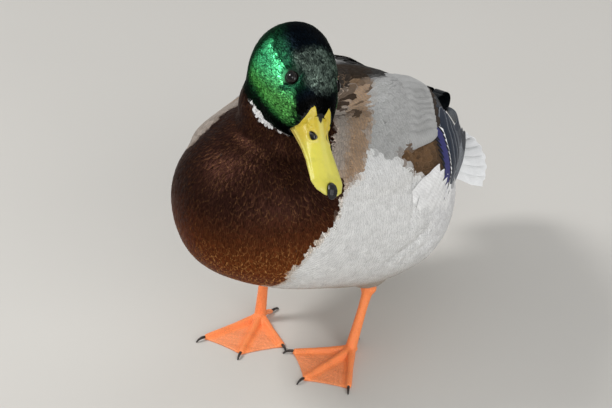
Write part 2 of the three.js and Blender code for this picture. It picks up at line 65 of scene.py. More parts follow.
MM = 1000.0
SHANK_CENTRE = np.array((41.117, 8.581, 27.479))  # middle of the left shank's box
ORIGIN = (np.array(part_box("tarsus_left")[0]) + np.array(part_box("tarsus_left")[1])) / 2 * MM - SHANK_CENTRE


def to_model(points):
    """Millimetres in the bird's frame, as metres in the model's frame."""
    return (np.asarray(points, float) + ORIGIN) / MM


def from_model(points):
    """Metres in the model's frame, as millimetres in the bird's frame."""
    return np.asarray(points, float) * MM - ORIGIN


def turn(axis, degrees):
    return np.array(Matrix.Rotation(math.radians(degrees), 3, axis))


HEAD_AT = np.array((64.1, -74.9, 226.9))  # where the bill's ridge meets the forehead
HEAD_TURN = turn("Z", 56.2) @ turn("X", 10.3) @ turn("Y", 24.2)
BILL_TURN = HEAD_TURN @ turn("X", 10.6)
EYE_CENTRE = (16.1, 26.4, 10.3)  # of the left eye, in the head's frame
TRUNK_SHIFT = 6.5  # x of the trunk's middle plane
AXIS_LEVEL = 108.0  # height of the trunk's axis
NECK_BASE = (15.0, -48.0)  # x and y of the middle of the neck, where it leaves the trunk
THIGH_AT = (38.0, 12.0)  # x and y of the middle of the left thigh
RING_AT = np.array((15.9, -75.5, 213.6))  # a place in the plane of the neck's white ring
SIDES = ((1, "left"), (-1, "right"))


def in_head(points):
    return (points - HEAD_AT) @ HEAD_TURN


def from_head(points):
    return np.asarray(points, float) @ HEAD_TURN.T + HEAD_AT


def in_bill(points):
    return (points - HEAD_AT) @ BILL_TURN


def eye_centre(side):
    return from_head(np.array(EYE_CENTRE) * (side, 1, 1))


def unit(vectors):
    return vectors / np.maximum(np.linalg.norm(vectors, axis=-1, keepdims=True), 1e-9)


def ease(low, high, value):
    """0 at low, 1 at high and smooth between them; low may be the larger."""
    share = np.clip((value - low) / (high - low), 0, 1)
    return share * share * (3 - 2 * share)


def hump(value, middle, half):
    """1 at the middle, falling away softly on both sides."""
    return np.exp(-(((value - middle) / half) ** 2))


def from_line(points, start, end):
    """Distance of points from a straight line, and how far along it they are, from 0 to 1."""
    way = end - start
    share = np.clip(((points - start) @ way) / (way @ way), 0, 1)
    return np.linalg.norm(points - start - share[:, None] * way, axis=1), share


RING_UP = unit(np.array((0.60, 0.32, 0.98)))
# The white ring, by places along the head's side: its level over the plane, and half its width.
RING = {
    "back": [14, 26, 33, 38.5, 44, 49],
    "level": [3.0, 1.5, -0.8, -0.4, 1.4, 1.2],
    "half": [0.1, 0.8, 2.6, 2.4, 1.2, 0],
}


def linear(hex_colour):
    """A colour written as sRGB hex, as the linear colour that Blender works in."""
    parts = [int(hex_colour[i : i + 2], 16) / 255 for i in (1, 3, 5)]
    return np.array([c / 12.92 if c <= 0.04045 else ((c + 0.055) / 1.055) ** 2.4 for c in parts])


# ---- sizes and colours -----------------------------------------------------------------------------------


def length_property(name, description, default):
    return bpy.props.FloatProperty(
        name=name, description=description, default=default / MM, min=0.0, unit="LENGTH", precision=5
    )


def colour_property(name, description, default):
    return bpy.props.FloatVectorProperty(
        name=name,
        description=description,
        default=tuple(linear(default)),
        subtype="COLOR",
        size=3,
        min=0.0,
        max=1.0,
    )


class DuckSizes(bpy.types.PropertyGroup):
    skin_grain: length_property("Skin Grain", "Cell size that the body's skin is moulded at", 1.5)
    leg_grain: length_property("Leg Grain", "Cell size that legs and feet are moulded at", 0.6)
    bill_grain: length_property("Bill Grain", "Cell size that the bill is moulded at", 0.5)
    claw_grain: length_property("Claw Grain", "Cell size that claws and nail are moulded at", 0.28)
    eye_radius: length_property("Eye Radius", "Radius of an eyeball", 4.6)
    face_feathers: length_property("Face Feathers", "Spacing of the feathers beside the bill", 1.05)
    head_feathers: length_property("Head Feathers", "Spacing of the feathers on crown and cheeks", 1.5)
    neck_feathers: length_property("Neck Feathers", "Spacing of the feathers under the white ring", 2.1)
    breast_feathers: length_property("Breast Feathers", "Spacing of the feathers on the breast", 3.1)
    flank_feathers: length_property("Flank Feathers", "Spacing of the feathers on flanks and belly", 3.0)
    back_feathers: length_property("Back Feathers", "Spacing of the feathers on shoulders and back", 3.7)
    camera_distance: length_property("Camera Distance", "From the camera to the bird", 3000)


class DuckColours(bpy.types.PropertyGroup):
    # Partly the head's own green, partly painted light where the glossy cheek faces the light.
    emerald: colour_property("Emerald", "Glossy green of the cheeks", "#55cc88")
    moss: colour_property("Moss", "Yellower green low on the cheeks", "#57953f")
    # Painted shade: the glossy green head as it looks turned away from the light, in blue-black.
    crown: colour_property("Crown", "Blue-black of crown and nape", "#090f15")
    # A painted reflection: the grey-green of light glancing off the forehead feathers.
    painted_sheen: colour_property("Sheen", "Grey-green of the forehead", "#66756a")
    lore: colour_property("Lore", "Near black beside the bill", "#080808")
    ring: colour_property("Ring", "White ring of the neck", "#ffffff")
    plum: colour_property("Plum", "Dark chestnut of the upper breast", "#2c1914")
    chestnut: colour_property("Chestnut", "Redder chestnut of the lower breast", "#6b381a")
    fringe: colour_property("Fringe", "Pale fringes of the breast feathers", "#d09a5e")
    flank: colour_property("Flank", "Pale grey of the flanks", "#f0f0ee")
    # Painted shade: the darker, warmer grey under the body.
    belly: colour_property("Belly", "Warmer grey of the belly", "#b9ad9d")
    stern: colour_property("Stern", "White at the rear of the flanks", "#f8f8f8")
    scapular: colour_property("Scapular", "Grey of the shoulder feathers", "#b1b1af")
    band: colour_property("Band", "Brown band in front of the shoulder feathers", "#ab8c6e")
    mantle: colour_property("Mantle", "Dark brown of the back", "#0f0c0a")
    covert: colour_property("Covert", "Brown of the wing coverts", "#614830")
    speculum: colour_property("Speculum", "Purple-blue patch of the wing", "#34346a")
    slate: colour_property("Slate", "Grey of the flight feathers", "#222a38")
    rump: colour_property("Rump", "Black of rump, vent and curled feathers", "#0e1316")
    tail: colour_property("Tail", "White of the tail", "#f4f5f5")
    bill: colour_property("Bill", "Yellow of the bill", "#cfc64c")
    nail: colour_property("Nail", "Black of the bill's nail", "#0b0c0f")
    leg: colour_property("Leg", "Orange of legs and toes", "#ff9152")
    web: colour_property("Web", "Pinkish grey of the webs", "#f79a68")
    claw: colour_property("Claw", "Dark horn of the claws", "#2c2522")
    iris: colour_property("Iris", "Dark brown of the eyes", "#0c0604")
    floor: colour_property("Floor", "Pale floor", "#cdcac4")


def sizes():
    return bpy.context.scene.duck_sizes


def hue(name):
    """A colour of the panel, as an array."""
    return np.array(getattr(bpy.context.scene.duck_colours, name)[:])


def mm(name):
    """A size of the panel, in millimetres."""
    return getattr(sizes(), name) * MM


# ---- meshes ----------------------------------------------------------------------------------------------


def read(items, key, width, kind=float):
    """One value of every item of a mesh, a row for each item."""
    flat = np.empty(len(items) * width, kind)
    items.foreach_get(key, flat)
    return flat.reshape(-1, width)


def points_of(piece):
    return from_model(read(piece.data.vertices, "co", 3))


def set_points(piece, points):
    piece.data.vertices.foreach_set("co", to_model(points).astype(np.float32).ravel())
    piece.data.update()


def normals_of(piece):
    return read(piece.data.vertex_normals, "vector", 3, np.float32).astype(float)


def edges_of(piece):
    return read(piece.data.edges, "vertices", 2, np.int32)


def triangles_of(piece):
    piece.data.calc_loop_triangles()
    return read(piece.data.loop_triangles, "vertices", 3, np.int32)


def select_only(*pieces):
    bpy.ops.object.select_all(action="DESELECT")
    for piece in pieces:
        piece.select_set(True)
    bpy.context.view_layer.objects.active = pieces[0]


def apply(piece, kind, **settings):
    select_only(piece)
    modifier = piece.modifiers.new(kind.lower(), kind)
    for key, value in settings.items():
        setattr(modifier, key, value)
    bpy.ops.object.modifier_apply(modifier=modifier.name)


def copied(name, nodes):
    """One mesh of copies of the nodes' solids, its loose triangles merged."""
    copies = []
    for node in nodes:
        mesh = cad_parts[node].data.copy()
        mesh.materials.clear()
        copies.append(bpy.data.objects.new(name, mesh))
        bpy.context.scene.collection.objects.link(copies[-1])
    piece = joined(*copies)
    piece.name = name
    bpy.ops.object.mode_set(mode="EDIT")
    bpy.ops.mesh.select_all(action="SELECT")
    bpy.ops.mesh.remove_doubles(threshold=1e-6)
    bpy.ops.object.mode_set(mode="OBJECT")
    return piece


def joined(*pieces):
    select_only(*pieces)
    if len(pieces) > 1:
        bpy.ops.object.join()
    return pieces[0]


def remeshed(piece, grain, swell=0.0):
    """An even skin over a mesh, swollen first to close the gaps between its solids."""
    if swell:
        set_points(piece, points_of(piece) + normals_of(piece) * swell)
    apply(piece, "REMESH", mode="VOXEL", voxel_size=grain / MM, use_smooth_shade=True)
    return piece


def moulded(name, nodes, grain, swell=0.0):
    return remeshed(copied(name, nodes), grain, swell)


def ball(name, segments, ring_count):
    """A sphere with a radius of 1 round its own origin, and its points."""
    bpy.ops.object.select_all(action="DESELECT")
    bpy.ops.mesh.primitive_uv_sphere_add(segments=segments, ring_count=ring_count, radius=1)
    piece = bpy.context.object
    piece.name = name
    return piece, read(piece.data.vertices, "co", 3)


def egg(name, centre, half):
    """A closed ellipsoid with its centre and half sizes along the axes of the bill."""
    piece, local = ball(name, 32, 16)
    set_points(piece, (local * half + centre) @ BILL_TURN.T + HEAD_AT)
    return piece


def face_out(piece):
    """Turns every face of a closed piece outwards."""
    select_only(piece)
    bpy.ops.object.mode_set(mode="EDIT")
    bpy.ops.mesh.select_all(action="SELECT")
    bpy.ops.mesh.normals_make_consistent(inside=False)
    bpy.ops.object.mode_set(mode="OBJECT")
    return piece


def slab(name, front, rear):
    """A closed plate between two grids of points, rows x columns x 3."""
    rows, columns = front.shape[:2]
    corner = np.arange(rows * columns).reshape(rows, columns)
    a, b, d, e = (corner[:-1, :-1], corner[:-1, 1:], corner[1:, 1:], corner[1:, :-1])
    sheet = np.concatenate([np.stack([a, b, d], -1).reshape(-1, 3), np.stack([a, d, e], -1).reshape(-1, 3)])
    count = rows * columns
    border = np.concatenate([corner[0, :-1], corner[:-1, -1], corner[-1, :0:-1], corner[:0:-1, 0]])
    after = np.roll(border, -1)
    wall = np.concatenate(
        [np.stack([border, border + count, after], 1), np.stack([after, border + count, after + count], 1)]
    )
    triangles = np.concatenate([sheet, sheet[:, ::-1] + count, wall])
    points = np.concatenate([front.reshape(-1, 3), rear.reshape(-1, 3)])
    return face_out(new_mesh(name, points, triangles))


def relax(piece, rounds, share=None):
    """Evens out the mesh; share says how far each point takes part."""
    points, edges = points_of(piece), edges_of(piece)
    first, second = edges[:, 0], edges[:, 1]
    count = len(points)
    degree = (np.bincount(first, minlength=count) + np.bincount(second, minlength=count))[:, None]
    weight = 0.5 if share is None else 0.5 * share[:, None]
    for _ in range(rounds):
        total = [
            np.bincount(first, points[second, k], count) + np.bincount(second, points[first, k], count)
            for k in range(3)
        ]
        points = points + (np.stack(total, 1) / degree - points) * weight
    set_points(piece, points)


def paint(piece, name, colours):
    """Writes a colour for each point of a mesh."""
    layer = piece.data.color_attributes.new(name, "FLOAT_COLOR", "POINT")
    rgba = np.ones((len(piece.data.vertices), 4), np.float32)
    rgba[:, : colours.shape[1]] = colours
    layer.data.foreach_set("color", rgba.ravel())


def new_mesh(name, points, triangles):
    mesh = bpy.data.meshes.new(name)
    mesh.vertices.add(len(points))
    mesh.vertices.foreach_set("co", to_model(points).astype(np.float32).ravel())
    mesh.loops.add(len(triangles) * 3)
    mesh.loops.foreach_set("vertex_index", triangles.astype(np.int32).ravel())
    mesh.polygons.add(len(triangles))
    mesh.polygons.foreach_set("loop_start", np.arange(0, len(triangles) * 3, 3, dtype=np.int32))
    mesh.update(calc_edges=True)
    piece = bpy.data.objects.new(name, mesh)
    bpy.context.scene.collection.objects.link(piece)
    return piece


def settle(piece, material, nodes=()):
    """Gives a finished piece its material and its place on the bird."""
    piece.data.materials.clear()
    piece.data.materials.append(material)
    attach(piece, "root")
    if nodes:
        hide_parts(*nodes)
    return piece


# ---- markings --------------------------------------------------------------------------------------------


def blend(colour, other, share):
    """Goes from one colour to another by a share, which may differ from row to row."""
    return colour + (other - colour) * np.asarray(share)[..., None]


def even(colour, rows):
    return np.tile(colour, (rows, 1))


def girth_angle(points):
    """Degrees round the trunk, from its side (0) over the back (90) or under the belly (-90)."""
    return np.degrees(np.arctan2(points[:, 2] - AXIS_LEVEL, np.abs(points[:, 0] - TRUNK_SHIFT)))


def over_ring(points):
    """Height over the white ring, along the neck; far below 0 for all that is away from head and neck."""
    head = in_head(points)
    height = (points - RING_AT) @ RING_UP - np.interp(ring_place(head), RING["back"], RING["level"])
    return np.where((np.abs(head[:, 0]) < 36) & (points[:, 2] > 185), height, -60.0)


def ring_place(head):
    """How far back on the ring, which reaches further round the nape on the left side."""
    return head[:, 1] - 18 * ease(-5, 15, head[:, 0])


# Edges between the markings: the rear edge of the breast, the lower edges of shoulder feathers and wing
# coverts by the angle round the trunk, and the upper edge of the cheek's green in the head's frame.
BREAST_EDGE = {
    "z": [90, 98, 117, 132, 141, 150, 175, 183, 192, 205],
    "y": [-88, -89, -93, -85, -75, -62, -47, -35, -12, 5],
}
SHOULDER_EDGE = {"y": [-50, -32, -15, -7, 7, 16, 40], "angle": [47.6, 49, 49.3, 44, 37.4, 34, 34]}
COVERT_EDGE = {"y": [2, 8, 16, 26, 50], "angle": [38, 36, 29, 22, 8]}
CHEEK_EDGE = {"back": [0, 8, 18, 31, 43, 51, 66, 85], "up": [-6, -1, 7.5, 12.5, 13.5, 14.5, 17, 18]}
DARK_SPOT = np.array((43.7, 1.9, 190.8))  # a dark feather among the grey ones of the left shoulder


def breast_edge(z):
    return np.interp(z, BREAST_EDGE["z"], BREAST_EDGE["y"])


def markings(points, luck=None):
    """Colour, fringe colour with its strength, and strength of the fine wavy lines, at places on the bird.

    luck is a number from 0 to 1 for each place, by which one feather differs from the next. Each marking lies
    over those before it.
    """
    x, y, z = points.T
    angle = girth_angle(points)
    count = len(points)
    luck = np.full(count, 0.5) if luck is None else luck
    uneven = (0.65 + 0.7 * luck)[:, None]

    # Grey flanks, the belly darker and warmer with painted shade under the body, and the white at the rear.
    colour = even(hue("flank"), count)
    colour = blend(colour, hue("belly"), ease(-18, -52, angle))
    colour = blend(colour, hue("stern"), ease(5, 45, y) * ease(-50, -10, angle))
    lines = np.full(count, 0.55)
    rim = even(hue("ring"), count)
    rim_share = np.full(count, 0.15)

    # Grey shoulder feathers, and the brown band that slants up in front of them.
    edge = np.interp(y, SHOULDER_EDGE["y"], SHOULDER_EDGE["angle"])
    shoulder = ease(edge - 1.2, edge + 1.2, angle) * ease(98, 88, y)
    colour = blend(colour, hue("scapular"), shoulder)
    lines = np.where(shoulder > 0.5, 0.5, lines)
    slant = y - 2.2 * (angle - 50)
    band = ease(40, 46, angle) * ease(-13, -24, slant)
    tan = blend(even(hue("band"), count), hue("scapular"), 0.5 * ease(-38, -52, slant))
    colour = blend(colour, tan * (0.85 + 0.3 * luck)[:, None], band)
    rim_share = rim_share * (1 - band)
    lines = np.where(band > 0.5, 1.1, lines)

    # The closed wing where it shows: brown coverts, and slate behind them.
    lower = np.interp(y, COVERT_EDGE["y"], COVERT_EDGE["angle"])
    covert = ease(0, 6, y) * ease(lower - 1.5, lower + 1, angle) * ease(44, 40, angle) * ease(60, 55, y)
    colour = blend(colour, hue("covert") * uneven, covert)
    rim = blend(rim, hue("band"), covert)
    rim_share = np.where(covert > 0.5, 0.15, rim_share)
    flight = ease(54, 58, y) * ease(3, 6, angle) * ease(58, 54, angle)
    colour = blend(colour, hue("slate"), flight)

    # The dark back, and the black rump.
    top = 83 - 0.1 * np.maximum(y, 0)
    mantle = ease(top - 5, top + 3, angle) * ease(-52, -30, y)
    colour = blend(colour, hue("mantle") * uneven, mantle * 0.95)
    rim = blend(rim, hue("band"), mantle)
    rim_share = np.where(mantle > 0.5, 0.9 * ease(40, 0, y) * (0.3 + luck), rim_share)
    lines = lines * (1 - covert) * (1 - 0.7 * mantle) * (1 - flight)
    black = np.maximum(ease(84, 96, y) * ease(20, 34, angle), ease(92, 104, y) * ease(34, 10, angle))
    colour = blend(colour, hue("rump"), black)
    rim_share = rim_share * (1 - black)
    lines = lines * (1 - black)

    # Single dark feathers high on the band and on the shoulder.
    mottled = band * ease(60, 76, angle) * ease(0.62, 0.7, luck)
    mottled = np.maximum(mottled, 0.9 * ease(7, 4, np.linalg.norm(points - DARK_SPOT, axis=1)))
    mottled = mottled * (1 - mantle)
    colour = blend(colour, hue("covert") * 0.3, mottled)
    lines = lines * (1 - mottled)

    # The breast, paler fringed the lower it is, with a tan margin. Its edge differs from side to side.
    right = ease(0, -20, x - TRUNK_SHIFT) * ease(150, 175, z) * 30
    left = ease(10, 35, x - TRUNK_SHIFT) * ease(165, 185, z) * 16
    edge = breast_edge(z) - right - left
    near_edge = ease(edge + 6, edge, y) * ease(176, 168, z)
    colour = blend(colour, linear("#b59a7c"), near_edge * (0.3 + 0.4 * luck))
    breast = ease(edge + 0.8, edge - 0.8, y + 3.5 * (luck - 0.5))
    chestnut = blend(even(hue("chestnut"), count), hue("plum"), ease(105, 165, z))
    colour = blend(colour, chestnut, breast)
    rim = blend(rim, hue("fringe"), breast)
    rim_share = rim_share * (1 - breast) + breast * (0.04 + 0.7 * ease(145, 95, z)) * (0.2 + 1.3 * luck)
    lines = lines * (1 - breast)

    # The white ring, and the head over it.
    above = over_ring(points)
    wide = np.interp(ring_place(in_head(points)), RING["back"], RING["half"])
    ring = ease(wide + 0.3, wide - 0.3, np.abs(above)) * (wide > 0.3)
    colour = blend(colour, hue("ring"), ring)
    head = ease(wide - 0.3, wide + 0.3, above)
    colour = blend(colour, head_colour(in_head(points), luck, above), head)
    rim_share = rim_share * (1 - np.maximum(ring, head))
    return np.clip(colour, 0, 1), rim, rim_share, lines


def head_colour(points, luck, above):
    """The head's glossy green with painted light and shade: bright painted light on the cheeks, blue-black
    painted shade on crown and nape, a painted grey-green reflection on the forehead and painted shade under
    the chin, by places in the head's own frame and over the ring.
    """
    across, back, up = np.abs(points[:, 0]), points[:, 1], points[:, 2]
    count = len(points)
    # Blue-black painted shade over the whole head to begin with.
    colour = even(hue("crown"), count)
    edge = np.interp(back, CHEEK_EDGE["back"], CHEEK_EDGE["up"])
    side = ease(6, 13, across) * ease(2, 9, back)
    # Painted shade: darker green above the cheek's edge and on the nape, where the glossy green turns from
    # the light.
    dark = ease(edge + 12, edge + 1, up) * ease(3, 9, across) * ease(12, 22, back) * (0.4 + 0.6 * luck)
    colour = blend(colour, hue("emerald") * 0.11, np.maximum(dark, 0.5 * ease(70, 80, back)))
    # The cheek's bright green: the head's green with painted light where the cheek faces the light, yellower
    # low down.
    cheek = ease(edge + 0.8, edge - 2.2, up) * ease(-19, -9, up) * ease(67, 56, back) * side
    cheek = cheek * ease(2, 18, back + 6 * luck) * ease(4, 13, above)
    from_eye = np.hypot(back - EYE_CENTRE[1], up - EYE_CENTRE[2])
    cheek = cheek * (1 - ease(12, 7, from_eye) * ease(29, 25, back))
    green = blend(even(hue("emerald"), count), hue("moss"), 0.85 * ease(12, -8, up + 0.25 * back - 8))
    colour = blend(colour, green * (0.5 + 0.9 * luck[:, None]), cheek)
    # A painted reflection: grey-green speckles where light glances off the forehead, none by the eye or low
    # towards the bill.
    forward = ease(8, 15, back - 0.9 * np.maximum(across - 4, 0)) * ease(6.5, 11, from_eye)
    painted_sheen = ease(3, 10, up - 0.2 * back) * forward * ease(42, 32, back) * ease(19, 14, across)
    colour = blend(colour, hue("painted_sheen") * (0.6 + 0.9 * luck[:, None]), painted_sheen * (0.4 + 0.4 * luck))
    lore = ease(13, 8, back) * ease(-6, -1, up)
    colour = blend(colour, hue("lore"), np.maximum(lore, ease(7, 2, back)))
    # The throat's dark feathers, made near black by painted shade under the chin.
    throat = np.maximum(ease(-15, -21, up), ease(-11, -17, up) * ease(14, 6, across))
    return blend(colour, hue("lore"), throat * 0.85)


# ---- lie and size of the feathers ------------------------------------------------------------------------

THIGH_FEATHERS = 2.6  # spacing of the feathers on the thighs
COAT = {"trunk": 0.3, "head": 0.4, "face": 0.3, "thigh": 0.7}  # depth of the coat


def on_thigh(points, top):
    """1 on the thighs, up to 10 mm under a height."""
    x, y, z = points.T
    return ease(top, top - 10, z) * ease(34, 22, np.hypot(np.abs(x) - THIGH_AT[0], y - THIGH_AT[1]))


def lie(points, normals):
    """The way that feathers point along the skin: back, down over the breast, and out round the eyes."""
    x, y, z = points.T
    head = in_head(points)
    angle = girth_angle(points)
    front = ease(-40, -105, y) * ease(195, 170, z)
    trunk = np.stack([0 * x, 1 - 0.97 * front, -1.5 * front - 0.12 * ease(60, 20, angle)], 1)
    outward = unit(np.stack([x - NECK_BASE[0], y - NECK_BASE[1], 0 * x], 1))
    trunk = trunk + outward * (1.3 * front * ease(150, 178, z))[:, None]
    neck = unit(outward * 1.4 - (0, 0, 1.0))
    back_turn = ease(35, 88, head[:, 1]) * 0.75
    head_way = np.stack([0 * x, 1 - back_turn, -back_turn - 0.12], 1) @ HEAD_TURN.T
    on_neck = ease(168, 196, z) * (y < 20)
    way = trunk * (1 - on_neck)[:, None] + neck * on_neck[:, None]
    on_head = ease(-2, 22, over_ring(points))
    way = way * (1 - on_head)[:, None] + head_way * on_head[:, None]
    way = blend(way, np.array((0, 0.25, -1.0)), on_thigh(points, 58))
    for side, _ in SIDES:
        off = points - eye_centre(side)
        way = way + unit(off) * (1.1 * ease(12, 5, np.linalg.norm(off, axis=1)))[:, None]
    way = way - normals * (way * normals).sum(1, keepdims=True)
    return unit(way)


def spacing(points):
    """How far apart feathers grow: closest on the face, and closer at the breast's edge than beside it."""
    _, y, z = points.T
    head = in_head(points)
    angle = girth_angle(points)
    size = np.full(len(points), mm("flank_feathers"))
    size = size + (mm("back_feathers") - size) * ease(34, 44, angle) * ease(-60, -30, y)
    size = size + (mm("breast_feathers") - size) * ease(-30, -60, y)
    size = size + (mm("neck_feathers") - size) * ease(165, 195, z) * ease(10, -20, y)
    size = size * (1 - 0.35 * hump(y - breast_edge(z), 0, 7) * ease(180, 165, z))
    fine = mm("face_feathers") + (mm("head_feathers") - mm("face_feathers")) * ease(2, 26, head[:, 1])
    size = size + (fine - size) * ease(-9, -2, over_ring(points))
    return size + (THIGH_FEATHERS - size) * on_thigh(points, 62)


def coat_depth(points):
    """How far the skin lies inside the tips of the coat."""
    depth = np.full(len(points), COAT["trunk"])
    on_head = ease(-14, 6, over_ring(points))
    on_face = ease(22, 2, in_head(points)[:, 1])
    depth = depth + (COAT["head"] - depth) * on_head
    depth = depth + (COAT["face"] - depth) * on_head * on_face
    return depth + (COAT["thigh"] - depth) * ease(62, 52, points[:, 2])


# ---- feathers --------------------------------------------------------------------------------------------

ROWS = np.array([0.0, 0.34, 0.62, 0.86, 1.0])  # places along a small feather, from its root to its tip
OUTLINE = np.array([0.35, 0.86, 1.0, 0.78, 0.26])  # its half width there, as a share of the widest
LONG = 3.3  # its length, by the spacing of the feathers
WIDE = 0.95  # its half width at the widest, likewise
RELIEF = 0.22  # how far the shading leans out at a vane's edges
PATCH = 0.0015  # half of a feather's patch on the baked map


def feather_mesh(name, line, normals, half, crown, tints, rims, places, columns=3, skew=0.0):
    """Closed thin vanes: a crowned upper face and a flat under face between the same edges.

    line and normals are N x rows x 3, half is N x rows (half widths) and crown N (height of the middle).
    tints and rims are N x rows x 4 or N x 1 x 4, and places N x 2, where each root lies on the skin's unwrap.
    """
    # The upper face's points, highest along the shaft, with the corners of the tip pulled back.
    count, rows = line.shape[:2]
    ahead = np.gradient(line, axis=1)
    across = unit(np.cross(ahead, normals))
    share = np.linspace(-1, 1, columns)
    bulge = 1 - share * share
    aside = half[:, :, None] * (share + skew * bulge)
    strides = np.linalg.norm(np.diff(line, axis=1), axis=2)
    length = np.concatenate([np.zeros((count, 1)), strides.cumsum(1)], 1)
    pull = 0.44 * half[:, -1] + 0.12 * half.max(1)
    grid = line[:, :, None, :] + across[:, :, None, :] * aside[..., None]
    rise = crown[:, None, None] * bulge * np.minimum(1, half / half.max(1, keepdims=True) + 0.2)[:, :, None]
    grid = grid + normals[:, :, None, :] * rise[..., None]
    ends = unit(ahead[:, -1])[:, None, :] * (share**2)[None, :, None] * pull[:, None, None]
    grid[:, -1] -= ends
    points = grid.reshape(-1, 3)

    # Two triangles for each cell of the upper face, and flat ones under them from edge to edge.
    corner = np.arange(rows * columns).reshape(rows, columns)
    faces, flat = [], []
    for r in range(rows - 1):
        for c in range(columns - 1):
            a, b, d, e = corner[r, c], corner[r, c + 1], corner[r + 1, c + 1], corner[r + 1, c]
            faces += [(a, b, d), (a, d, e)]
            flat += [False, False]
        a, b, d, e = corner[r, -1], corner[r, 0], corner[r + 1, 0], corner[r + 1, -1]
        faces += [(a, b, d), (a, d, e)]
        flat += [True, True]
    for c in range(1, columns - 1):
        faces += [(corner[0, 0], corner[0, c + 1], corner[0, c])]
        faces += [(corner[-1, 0], corner[-1, c], corner[-1, c + 1])]
        flat += [True, True]
    faces, flat = np.array(faces), np.array(flat)
    each = rows * columns
    triangles = (faces[None] + (np.arange(count) * each)[:, None, None]).reshape(-1, 3)
    piece = new_mesh(name, points, triangles)
    mesh = piece.data
    layer = mesh.attributes.new("sharp_face", "BOOLEAN", "FACE")
    layer.data.foreach_set("value", np.tile(flat, count))

    # Colours, and how far each point is from the vane's edge.
    shape = (count, rows, columns)
    paint(piece, "tint", np.broadcast_to(tints[:, :, None, :], shape + (4,)).reshape(-1, 4))
    paint(piece, "rim", np.broadcast_to(rims[:, :, None, :], shape + (4,)).reshape(-1, 4))
    wide = half[:, :, None] * (1 - np.abs(share))
    to_tip = np.broadcast_to((length[:, -1:] - length)[:, :, None], shape)
    inset = mesh.attributes.new("inset", "FLOAT", "POINT")
    inset.data.foreach_set("value", np.minimum(wide, to_tip).astype(np.float32).ravel())

    # The vane's own map in millimetres, and upper faces shaded as parts of one coat.
    loops = triangles.ravel()
    vane = np.stack([aside, np.broadcast_to(length[:, :, None], shape)], -1)
    vane = vane + (np.arange(count) * 37.0 % 101)[:, None, None, None]  # no two vanes show the same barbs
    shown = normals[:, :, None, :] + across[:, :, None, :] * (RELIEF * share)[None, None, :, None]
    shown = unit(shown).reshape(-1, 3)[loops].reshape(-1, 3, 3)
    under = np.tile(flat, count)
    a, b, d = (points[triangles[under, k]] for k in range(3))
    shown[under] = unit(np.cross(b - a, d - a))[:, None, :]
    custom = mesh.attributes.new("custom_normal", "FLOAT_VECTOR", "CORNER")
    custom.data.foreach_set("vector", shown.astype(np.float32).ravel())
    uv = mesh.uv_layers.new(name="Vane")
    uv.data.foreach_set("uv", vane.reshape(-1, 2)[loops].astype(np.float32).ravel())
    # Each vane's patch on the baked map.
    steps = np.linspace(-1, 1, rows)[None, :, None]
    local = np.stack([np.broadcast_to(share, shape), np.broadcast_to(steps, shape)], -1)
    patch = places[:, None, None, :] + PATCH * local
    bake = mesh.uv_layers.new(name="OFBake")
    bake.data.foreach_set("uv", patch.reshape(-1, 2)[loops].astype(np.float32).ravel())
    return piece


def unwrap(points):
    """A place on the unwrapped skin for each point, round and along the trunk or round and along the head."""
    x, y, z = points.T
    head = in_head(points)
    on_head = over_ring(points) > 0
    around = np.arctan2(z - AXIS_LEVEL, x - TRUNK_SHIFT) / (2 * np.pi) + 0.5
    along = (y + 130) / 300
    top = np.arctan2(head[:, 0], head[:, 2] + 4) / (2 * np.pi) + 0.5
    far = (head[:, 1] + 8) / 110
    u = np.where(on_head, top, around)
    v = np.where(on_head, far, along)
    return np.clip(np.stack([u, v], 1), 0, 1) * 0.98 + 0.01


class Skin:
    """The finished skin, with ways to find places on it."""

    def __init__(self, piece):
        self.points = points_of(piece)
        self.triangles = triangles_of(piece)
        self.normals = normals_of(piece)
        self.tree = BVHTree.FromPolygons(self.points.tolist(), self.triangles.tolist())

    def nearest(self, points):
        """The nearest places on the skin, and the skin's smooth normals there."""
        found, normals = np.empty_like(points), np.empty_like(points)
        for i, point in enumerate(points):
            place, _, face, _ = self.tree.find_nearest(Vector(point))
            found[i] = place
            normals[i] = self.normals[self.triangles[face]].sum(0)
        return found, unit(normals)

    def ray(self, y, degrees, side):
        """Where a ray from the trunk's axis leaves the skin, at y and at an angle up from the bird's side."""
        angle = math.radians(degrees)
        way = Vector((side * math.cos(angle), 0, math.sin(angle)))
        start = Vector((TRUNK_SHIFT, y, AXIS_LEVEL)) + way * 150
        place, _, face, _ = self.tree.ray_cast(start, -way)
        if place is None:
            raise RuntimeError(f"no skin at y {y}, angle {degrees}")
        return np.array(place), unit(self.normals[self.triangles[face]].sum(0))

    def scatter(self, rng, crowding=7.0):
        """Places all over the skin, apart by the feathers' spacing, picked out of crowding times as many."""
        a, b, c = (self.points[self.triangles[:, k]] for k in range(3))
        area = np.linalg.norm(np.cross(b - a, c - a), axis=1) / 2
        weight = area / spacing((a + b + c) / 3) ** 2
        tries = int(weight.sum() * crowding)
        chosen = rng.choice(len(area), tries, p=weight / weight.sum())
        u, v = rng.random((2, tries))
        over = u + v > 1
        u[over], v[over] = 1 - u[over], 1 - v[over]
        points = a[chosen] + (b - a)[chosen] * u[:, None] + (c - a)[chosen] * v[:, None]
        apart = spacing(points)
        tree = kdtree.KDTree(tries)
        for i, point in enumerate(points):
            tree.insert(point, i)
        tree.balance()
        free = np.ones(tries, bool)
        kept = []
        for i in range(tries):
            if free[i]:
                kept.append(i)
                for _, j, _ in tree.find_range(points[i], apart[i] * 0.9):
                    free[j] = False
        return points[np.array(kept)]


skins = {}  # the finished skin, for the operators after its own


